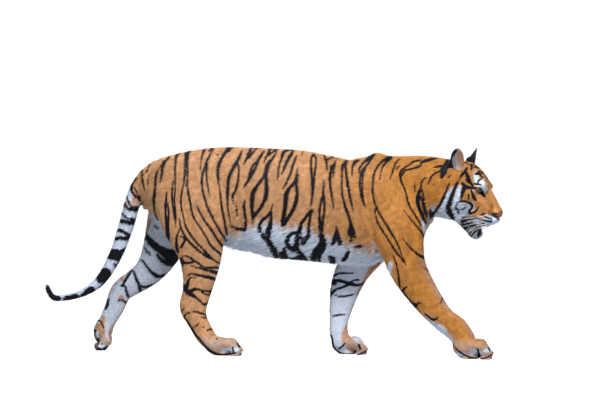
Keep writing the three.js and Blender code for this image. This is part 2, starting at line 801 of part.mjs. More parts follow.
const eyeAt = (sign) => fromHead([EYE_AT[0], EYE_AT[1], EYE_AT[2] * sign]);
const eyeBall = (sign, grow) => ballAt(eyeAt(sign), Array(3).fill(EYE_RADIUS + grow));
const HEAD_BOX = [[600, -300, 500], [1030, 190, 1020]];
fleshPart("head", {
  facet: FACET.head,
  box: HEAD_BOX,
  keep: [
    beyond(CUTS.nape),
    before(CUTS.nose),
    before(CUTS.earRight),
    before(CUTS.earLeft),
  ],
  drop: [jawRoom(-GAP / 2), eyeBall(-1, GAP), eyeBall(1, GAP)],
});
fleshPart("jaw", {
  facet: FACET.jaw,
  box: HEAD_BOX,
  keep: [jawRoom(GAP / 2)],
  finish: "white",
});
const NOSE_AT = fromHead([150, -68, 0]);
const NOSE_REACH = 60;
fleshPart("nose", {
  facet: FACET.nose,
  box: around(NOSE_AT, NOSE_REACH),
  keep: [beyond(CUTS.nose)],
  finish: "nose",
});
const EAR_REACH = 90;
for (const [side, cut] of [["right", CUTS.earRight], ["left", CUTS.earLeft]]) {
  const { base, up } = EARS[side];
  const middle = fromHead(base.map((x, i) => x + up[i] * EAR_LENGTH));
  fleshPart("ear_" + side, {
    facet: FACET.ear,
    box: around(middle, EAR_REACH),
    keep: [beyond(cut)],
  });
}
addPart("eye_right", eyeBall(-1, 0), "eye");
addPart("eye_left", eyeBall(1, 0), "eye");

const PAW_TOP = 260;
for (const [name, one] of Object.entries(LEGS)) {
  const ankle = across(one.rings, one.wrist, one.tilt);
  const [upper, lower] = name.startsWith("fore") ? ["upper_arm", "forearm"] : ["thigh", "shank"];
  const [low, high] = legBox(one, false);
  const below = lowerRoom(one, 0);
  const ground = beyond(CUTS.ground);
  fleshPart(`${name}_${upper}`, {
    facet: FACET.upperLeg,
    box: legBox(one, true),
    keep: [legRoom(one, 0)],
    drop: [lowerRoom(one, GAP)],
  });
  fleshPart(`${name}_${lower}`, {
    facet: FACET.lowerLeg,
    box: [low, high],
    keep: [below, before(ankle), ground],
  });
  fleshPart(`${name}_paw`, {
    facet: FACET.paw,
    box: [low, [high[0], high[1], PAW_TOP]],
    keep: [below, beyond(ankle), ground],
  });
}

fleshPart("tail_root", {
  facet: FACET.tailRoot,
  box: [[-910, -46, 440], [-600, 46, 920]],
  keep: [beyond(CUTS.tailRoot), before(CUTS.tailMiddle)],
  finish: "tail",
  field: rumpAndTail,
});
fleshPart("tail_middle", {
  facet: FACET.tailMiddle,
  box: [[-1100, -50, 210], [-790, 90, 570]],
  keep: [beyond(CUTS.tailMiddle), before(CUTS.tailTip)],
  finish: "tail",
  field: tail,
});
fleshPart("tail_tip", {
  facet: FACET.tailTip,
  box: [[-1230, -20, 200], [-1000, 90, 350]],
  keep: [beyond(CUTS.tailTip)],
  finish: "tail",
  field: tail,
});
addPart("scrotum", ballAt(SCROTUM.at, SCROTUM.size), "orange");

// The origin is put under the middle of the animal's box.
const bounds = new THREE.Box3().setFromObject(tiger);
const middle = bounds.getCenter(new THREE.Vector3());
tiger.position.set(-middle.x, -middle.y, -bounds.min.z);

export default tiger;
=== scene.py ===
"""Life-size tiger: skin, coat, eyes, nose, pads, claws, whiskers and floor."""

import math

import bmesh
import bpy
import numpy as np
from mathutils import Matrix, Quaternion, Vector


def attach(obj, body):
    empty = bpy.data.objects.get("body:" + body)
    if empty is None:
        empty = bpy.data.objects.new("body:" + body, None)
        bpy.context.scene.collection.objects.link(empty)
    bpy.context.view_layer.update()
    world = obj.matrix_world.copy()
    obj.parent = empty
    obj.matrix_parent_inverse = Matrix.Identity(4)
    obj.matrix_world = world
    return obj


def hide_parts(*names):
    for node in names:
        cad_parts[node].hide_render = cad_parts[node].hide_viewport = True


bl_info = {
    "name": "Walking tiger",
    "version": (1, 0, 0),
    "blender": (4, 5, 0),
    "location": "3D View > Sidebar > Tiger",
    "description": "Skin, coat, eyes and the other pieces of a life-size walking tiger",
    "category": "Mesh",
}

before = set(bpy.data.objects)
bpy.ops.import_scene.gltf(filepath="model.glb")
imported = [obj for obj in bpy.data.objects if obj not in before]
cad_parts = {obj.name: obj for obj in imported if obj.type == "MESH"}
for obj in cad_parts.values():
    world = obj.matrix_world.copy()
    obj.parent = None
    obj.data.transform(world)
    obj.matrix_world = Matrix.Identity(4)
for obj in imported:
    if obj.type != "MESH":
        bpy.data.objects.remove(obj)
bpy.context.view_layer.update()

# ------------------------------------------------------------------ the animal's shape
# All sizes here are millimetres, in the frame of the solids before they were moved to
# the floor: x forward, y to the animal's left, z up.

MOVED = np.array([124.02072, 3.53092, -6.0])  # from that frame to the model's own

# Rings of the trunk and the limbs: x, y, z, half depth, half width.
TRUNK = [
    [-676, 0, 786, 96, 84], [-602, 0, 766, 166, 122], [-494, 0, 752, 212, 142],
    [-367, 0, 748, 232, 146], [-235, 0, 736, 244, 156], [-118, 0, 718, 258, 170],
    [0, 0, 710, 260, 177], [118, 0, 694, 254, 177], [235, 0, 680, 250, 168],
    [338, 0, 692, 256, 158], [446, 0, 724, 226, 142], [530, -4, 768, 184, 126],
    [580, -10, 796, 156, 118], [634, -18, 802, 146, 114], [690, -28, 796, 142, 108],
]
LEGS = {
    "fore_right": [
        [392, -96, 816, 100, 46], [455, -118, 676, 114, 56], [473, -128, 545, 108, 59],
        [500, -122, 437, 92, 55], [552, -113, 344, 80, 50], [618, -104, 251, 67, 44],
        [674, -96, 188, 59, 41], [732, -90, 144, 60, 43], [772, -88, 98, 54, 47],
    ],
    "fore_left": [
        [440, 94, 790, 96, 46], [400, 116, 626, 112, 56], [324, 118, 508, 104, 57],
        [264, 110, 418, 87, 50], [226, 100, 332, 75, 44], [205, 92, 243, 60, 40],
        [192, 86, 163, 47, 38], [192, 84, 106, 46, 41], [204, 84, 66, 43, 44],
    ],
    "hind_right": [
        [-520, -88, 766, 160, 62], [-488, -112, 630, 158, 66], [-463, -124, 518, 120, 62],
        [-456, -125, 443, 98, 55], [-461, -122, 372, 81, 48], [-472, -117, 301, 68, 42],
        [-488, -112, 225, 64, 38], [-466, -107, 160, 50, 36], [-430, -104, 96, 47, 42],
        [-402, -102, 62, 40, 44],
    ],
    "hind_left": [
        [-572, 85, 749, 142, 60], [-612, 106, 599, 121, 62], [-660, 116, 471, 94, 54],
        [-713, 117, 386, 72, 45], [-780, 115, 333, 61, 38], [-842, 112, 287, 54, 35],
        [-876, 108, 209, 48, 34], [-904, 105, 153, 43, 37], [-928, 102, 100, 42, 40],
    ],
}
TAIL = [
    [-620, 0, 862, 52, 46], [-668, 0, 856, 50, 44], [-720, 0, 824, 46, 42],
    [-762, 0, 772, 43, 40], [-788, 0, 707, 40, 38], [-803, 2, 648, 39, 37],
    [-825, 4, 571, 37, 35], [-853, 6, 486, 34, 33], [-895, 8, 400, 30, 30],
    [-933, 10, 343, 27, 27], [-978, 12, 303, 23, 23], [-1034, 14, 274, 19, 19],
    [-1090, 16, 259, 17, 17], [-1147, 18, 254, 16, 16], [-1175, 18, 281, 15, 15],
    [-1184, 18, 306, 13, 13],
]
# Muscles: middle, half sizes, lean forward in degrees.
MUSCLES = [
    ([392, -58, 856], [62, 46, 112], -26), ([452, 56, 830], [56, 42, 104], -30),
    ([520, -112, 640], [62, 42, 82], 0), ([428, -138, 590], [66, 40, 96], 14),
    ([392, 132, 600], [66, 38, 96], 8), ([516, 0, 585], [68, 84, 116], 0),
    ([-556, -84, 838], [118, 52, 82], 12), ([-578, 82, 832], [116, 50, 82], 12),
    ([-420, -150, 640], [86, 34, 120], 0), ([-588, 132, 660], [86, 36, 120], 18),
    ([-300, 0, 575], [120, 82, 66], 8),
]
SCROTUM = ([-714, 0, 702], [29, 25, 32], 0)

# The head in its own frame: forward, up, sideways from the middle of its back part.
HEAD_PITCH = math.radians(24)
HEAD_YAW = math.radians(18)
HEAD_AT = np.array([847.0, -45.0, 795.0])
EYE_AT = np.array([-4.0, -5.0, 52.0])
EYE_RADIUS = 17.5
SKULL = [
    ([-90, 14, 0], [92, 82, 90]), ([-34, 24, 0], [60, 50, 58]), ([7, 24, 42], [32, 22, 26]),
    ([-55, -60, 70], [66, 71, 50]), ([-106, -84, 80], [60, 84, 54]),
    ([-96, -108, 0], [76, 78, 78]), ([38, -60, 41], [54, 42, 31]),
    ([90, -100, 30], [45, 35, 35]), ([54, -128, 38], [48, 32, 26]), ([8, -104, 32], [36, 34, 32]),
    ([124, -70, 0], [16, 19, 24]), ([66, -196, 0], [25, 27, 36]),
]
BRIDGE = ([16, 0, 0], [104, -55, 0], 33, 24)
JAW = ([50, -190, 14], [-70, -130, 60], 27, 40)
EARS = [
    ([-126, 40, -76], [-0.3, 0.86, -0.42], [0.5, 0.2, -0.84]),
    ([-116, 58, 74], [-0.1, 0.9, 0.42], [0.55, 0.1, 0.83]),
]
EAR = (60, 35, 19)
EAR_RIM = 9

# Paws: the middle of the sole, the dip of the toes, the toes' spacing and the size.
PAWS = {
    "fore_right": ([802, -88, 0], 0, 32, 1.1),
    "fore_left": ([236, 84, 0], 0, 32, 0.98),
    "hind_right": ([-350, -102, 0], 0, 30, 0.97),
    "hind_left": ([-970, 102, 77], 80, 30, 0.88),
}
TOES = (-1.5, -0.5, 0.5, 1.5)

FILLET = {
    "muscle": 46, "leg": 44, "head": 40, "tail_root": 34, "skull": 22, "foot": 22,
    "ear": 12, "heel": 12, "jaw": 10, "toe": 9, "cup": 4, "tail": 4,
}
FAR = 1000.0  # the distance given where a shape is too far off to matter
NEAR = 60.0


def unit(v):
    v = np.asarray(v, float)
    return v / np.maximum(np.linalg.norm(v, axis=-1, keepdims=True), 1e-9)


def norms(vectors):
    return np.linalg.norm(vectors, axis=1)


def ramp(low, high, x):
    """A smooth step from 0 at low to 1 at high."""
    t = np.clip((x - low) / (high - low), 0, 1)
    return t * t * (3 - 2 * t)


def turned(d, degrees):
    """Offsets turned about the line across the body."""
    c, s = math.cos(math.radians(degrees)), math.sin(math.radians(degrees))
    return np.stack([c * d[:, 0] - s * d[:, 2], d[:, 1], s * d[:, 0] + c * d[:, 2]], 1)


def folded(q):
    """Both sides of the head taken as one."""
    return np.stack([q[:, 0], q[:, 1], np.abs(q[:, 2])], 1)


def blend(a, b, k):
    """The smaller of two distances, with a fillet about k wide where they meet."""
    h = np.maximum(k - np.abs(a - b), 0) / k
    return np.minimum(a, b) - h * h * k / 4


def oval_distance(offsets, sizes, power=2.0):
    """Distance to an ellipsoid; a higher power gives fuller corners."""
    sizes = np.asarray(sizes, float)
    ratio = np.abs(offsets / sizes)
    if power == 2.0:
        level = np.maximum(np.sqrt((ratio * ratio).sum(-1)), 1e-4)
        slope = np.sqrt(((ratio / sizes) ** 2).sum(-1)) / level
    else:
        raised = ratio ** (power - 1)
        level = np.maximum((raised * ratio).sum(-1) ** (1 / power), 1e-4)
        slope = np.sqrt(((raised / sizes) ** 2).sum(-1)) * level ** (1 - power)
    return (level - 1) / np.maximum(slope, 1e-5)


def within(p, low, high, field):
    """The field where p is near the box, and FAR elsewhere."""
    inside = ((p > np.asarray(low) - NEAR) & (p < np.asarray(high) + NEAR)).all(1)
    out = np.full(len(p), FAR)
    if inside.any():
        out[inside] = field(p[inside])
    return out


def oval(p, at, size, lean):
    at, most = np.array(at), max(size)
    return within(p, at - most, at + most, lambda q: oval_distance(turned(q - at, lean), size))


def bar(p, start, end, first, last):
    """Distance to a straight bar with round ends and a radius that changes along it."""
    start, axis = np.array(start, float), np.subtract(end, start).astype(float)
    t = np.clip((p - start) @ axis / (axis @ axis), 0, 1)
    return norms(p - start - t[:, None] * axis) - (first + (last - first) * t)


def smooth_rings(rings, steps):
    """The rings with others between them, on a smooth curve."""
    rings = np.array(rings, float)
    last = len(rings) - 1
    out = []
    for i in range(last):
        a, b, c, d = (rings[min(last, max(0, i + n))] for n in (-1, 0, 1, 2))
        for j in range(steps):
            t = j / steps
            out.append(b + 0.5 * t * (c - a + t * (2 * a - 5 * b + 4 * c - d
                                                   + t * (3 * (b - c) + d - a))))
    out.append(rings[last])
    return np.array(out)


class Limb:
    """A limb whose section is an ellipse, with rings square to its path, or upright."""

    def __init__(self, rings, steps=3, power=2.0, upright=False):
        self.rings = smooth_rings(rings, steps)
        self.power = power
        self.links = []
        for start, end in zip(self.rings[:-1], self.rings[1:]):
            axis = (end - start)[:3]
            measure = np.array([axis[0], 0, 0]) if upright else axis
            along = unit(measure)
            side = unit(np.array([0, 1, 0]) - along * along[1])
            self.links.append((start, end, axis, measure, along, side, np.cross(along, side)))

    def link_parts(self, p, link):
        """How far along the link each point is, its offsets, and half depth and width there."""
        start, end, axis, measure, along, side, over = link
        q = p - start[:3]
        t = np.clip(q @ measure / (measure @ measure), 0, 1)
        d = q - t[:, None] * axis
        sizes = start[3:] + (end[3:] - start[3:]) * t[:, None]
        return t, np.stack([d @ along, d @ side, d @ over], 1), *sizes.T

    def distance(self, p):
        out = np.full(len(p), FAR)
        for link in self.links:
            start, end = link[:2]
            reach = max(*start[3:], *end[3:]) + 40
            low, high = np.minimum(start, end)[:3] - reach, np.maximum(start, end)[:3] + reach
            near = np.nonzero(((p > low) & (p < high)).all(1))[0]
            if len(near):
                _, offsets, deep, wide = self.link_parts(p[near], link)
                sizes = np.stack([np.minimum(deep, wide), wide, deep], 1)
                out[near] = np.minimum(out[near], oval_distance(offsets, sizes, self.power))
        return out

    def place(self, p):
        """Where each point stands on the limb: the ring number, and across and over it in
        shares of the half width and half depth."""
        best = np.full(len(p), 1e9)
        out = np.zeros((len(p), 3))
        for i, link in enumerate(self.links):
            t, offsets, deep, wide = self.link_parts(p, link)
            size = norms(offsets)
            closer = size < best
            best[closer] = size[closer]
            out[closer] = np.stack([i + t, offsets[:, 1] / wide, offsets[:, 2] / deep], 1)[closer]
        return out

    def point(self, places):
        """The point at a place given as place() gives it."""
        n = np.clip(places[:, 0], 0, len(self.links) - 1e-6)
        i = n.astype(int)
        t = (n - i)[:, None]
        start, end, side, over = (np.array([link[k] for link in self.links])[i]
                                  for k in (0, 1, 5, 6))
        ring = start + (end - start) * t
        return (ring[:, :3] + side * (places[:, 1] * ring[:, 4])[:, None]
                + over * (places[:, 2] * ring[:, 3])[:, None])

    def way(self, p):
        """The direction along the limb at each point."""
        n = np.clip(self.place(p)[:, 0], 0, len(self.links) - 1)
        ways = np.array([unit(k[2]) for k in self.links])
        i = np.floor(n).astype(int)
        j = np.minimum(i + 1, len(self.links) - 1)
        t = (n - i)[:, None]
        return unit(ways[i] * (1 - t) + ways[j] * t)


def head_axes():
    cp, sp = math.cos(HEAD_PITCH), math.sin(HEAD_PITCH)
    cy, sy = math.cos(HEAD_YAW), math.sin(HEAD_YAW)
    return np.array([[cp * cy, -cp * sy, -sp], [sp * cy, -sp * sy, cp], [sy, cy, 0]])


AXES = head_axes()


def to_head(p):
    return (p - HEAD_AT) @ AXES.T


def from_head(q):
    return HEAD_AT + np.asarray(q, float) @ AXES


def ear_frame(base, up, face):
    """Middle of an ear, and its axes: to the tip, across, and out of the cup."""
    tip = unit(up)
    wide = unit(np.cross(tip, face))
    return np.array(base) + tip * EAR[0] * 0.8, np.array([tip, wide, np.cross(wide, tip)])


def ear_distance(q, ear):
    middle, axes = ear_frame(*ear)
    scoop = middle + axes[2] * EAR[2] * 0.95 + axes[0] * 2
    outside = oval_distance((q - middle) @ axes.T, EAR)
    cup = oval_distance((q - scoop) @ axes.T, [EAR[0] - EAR_RIM, EAR[1] - EAR_RIM, EAR[2]])
    return -blend(-outside, cup, FILLET["cup"])


def head_distance(p):
    def field(near):
        q = to_head(near)
        d = blend(bar(q, *BRIDGE), bar(folded(q), *JAW), FILLET["jaw"])
        for at, size in SKULL:
            d = blend(d, oval_distance((folded(q) if at[2] > 0 else q) - at, size), FILLET["skull"])
        for ear in EARS:
            d = blend(d, ear_distance(q, ear), FILLET["ear"])
        return d

    return within(p, HEAD_AT - 300, HEAD_AT + 300, field)


def to_paw(p, name):
    """Points in a paw's own frame, at size 1: x forward, y across, z up from the sole."""
    at, dip, _, size = PAWS[name]
    return turned(p - at, dip) / size


def from_paw(q, name):
    at, dip, _, size = PAWS[name]
    return turned(np.asarray(q, float) * size, -dip) + at


def toe_points(number, spread):
    """Root, knuckle, tip and pad of a toe in the paw's frame."""
    ahead = 10 if abs(number) < 1 else 0
    return ([-12, number * spread * 0.7, 66], [34 + ahead, number * spread, 62],
            [66 + ahead, number * spread * 1.04, 33], [60 + ahead, number * spread * 1.02, 13])


def paw_distance(p, name):
    at, _, spread, size = PAWS[name]

    def field(near):
        q = to_paw(near, name)
        d = blend(oval_distance(q - [-16, 0, 52], [60, 56, 44]),
                  oval_distance(q - [-2, 0, 18], [46, 46, 19]), FILLET["heel"])
        for number in TOES:
            root, knuckle, tip, pad = toe_points(number, spread)
            for shape in (bar(q, root, knuckle, 25, 27), bar(q, knuckle, tip, 27, 21),
                          oval_distance(q - pad, [23, 16, 19])):
                d = blend(d, shape, FILLET["toe"])
        return d * size

    return within(p, np.array(at) - 170, np.array(at) + 170, field)


TRUNK_LIMB = Limb(TRUNK, power=2.2, upright=True)
LEG_LIMBS = {name: Limb(rings) for name, rings in LEGS.items()}
TAIL_LIMB = Limb(TAIL, steps=2)


def torso_distance(p):
    d = TRUNK_LIMB.distance(p)
    for at, size, lean in MUSCLES:
        d = blend(d, oval(p, at, size, lean), FILLET["muscle"])
    return d


def leg_distance(p, name):
    return blend(LEG_LIMBS[name].distance(p), paw_distance(p, name), FILLET["foot"])


def tiger_distance(p):
    """Distance to the surface of the whole animal, out to the tips of its coat."""
    torso = torso_distance(p)
    sides = []
    for pair in (("fore_right", "hind_right"), ("fore_left", "hind_left")):
        flesh = torso
        for name in pair:
            flesh = blend(flesh, leg_distance(p, name), FILLET["leg"])
        sides.append(flesh)
    flesh = blend(np.minimum(*sides), head_distance(p), FILLET["head"])
    root = np.clip((p[:, 2] - 730) / 90, 0, 1)
    k = FILLET["tail"] + (FILLET["tail_root"] - FILLET["tail"]) * root
    flesh = blend(flesh, TAIL_LIMB.distance(p), k)
    return blend(flesh, oval(p, *SCROTUM), 10)

# ------------------------------------------------------------------ markings
# The stripes, and a few lines of painted shade, are drawn on flat charts. The side chart is the
# animal's right side as seen from nine metres away, in steps of 4.7 mm across and down; each mark
# is a line of points, each with its place and the mark's full width there, unless that stays as it
# was at the point before. A bar stands between two marks.

STEP = 4.7
SIGHT = 9000.0
CHART_AT = (28.0, 714.0)  # the x and z under the chart's middle
CHART_MIDDLE = (306.0, 204.0)
CHART_SIZE = (612, 408)
CHART_ROLL = math.radians(0.8)
CELLS = 4  # cells of the distance table in each step of the chart
MARK_REACH = 14.0  # distances to marks are kept up to this many millimetres
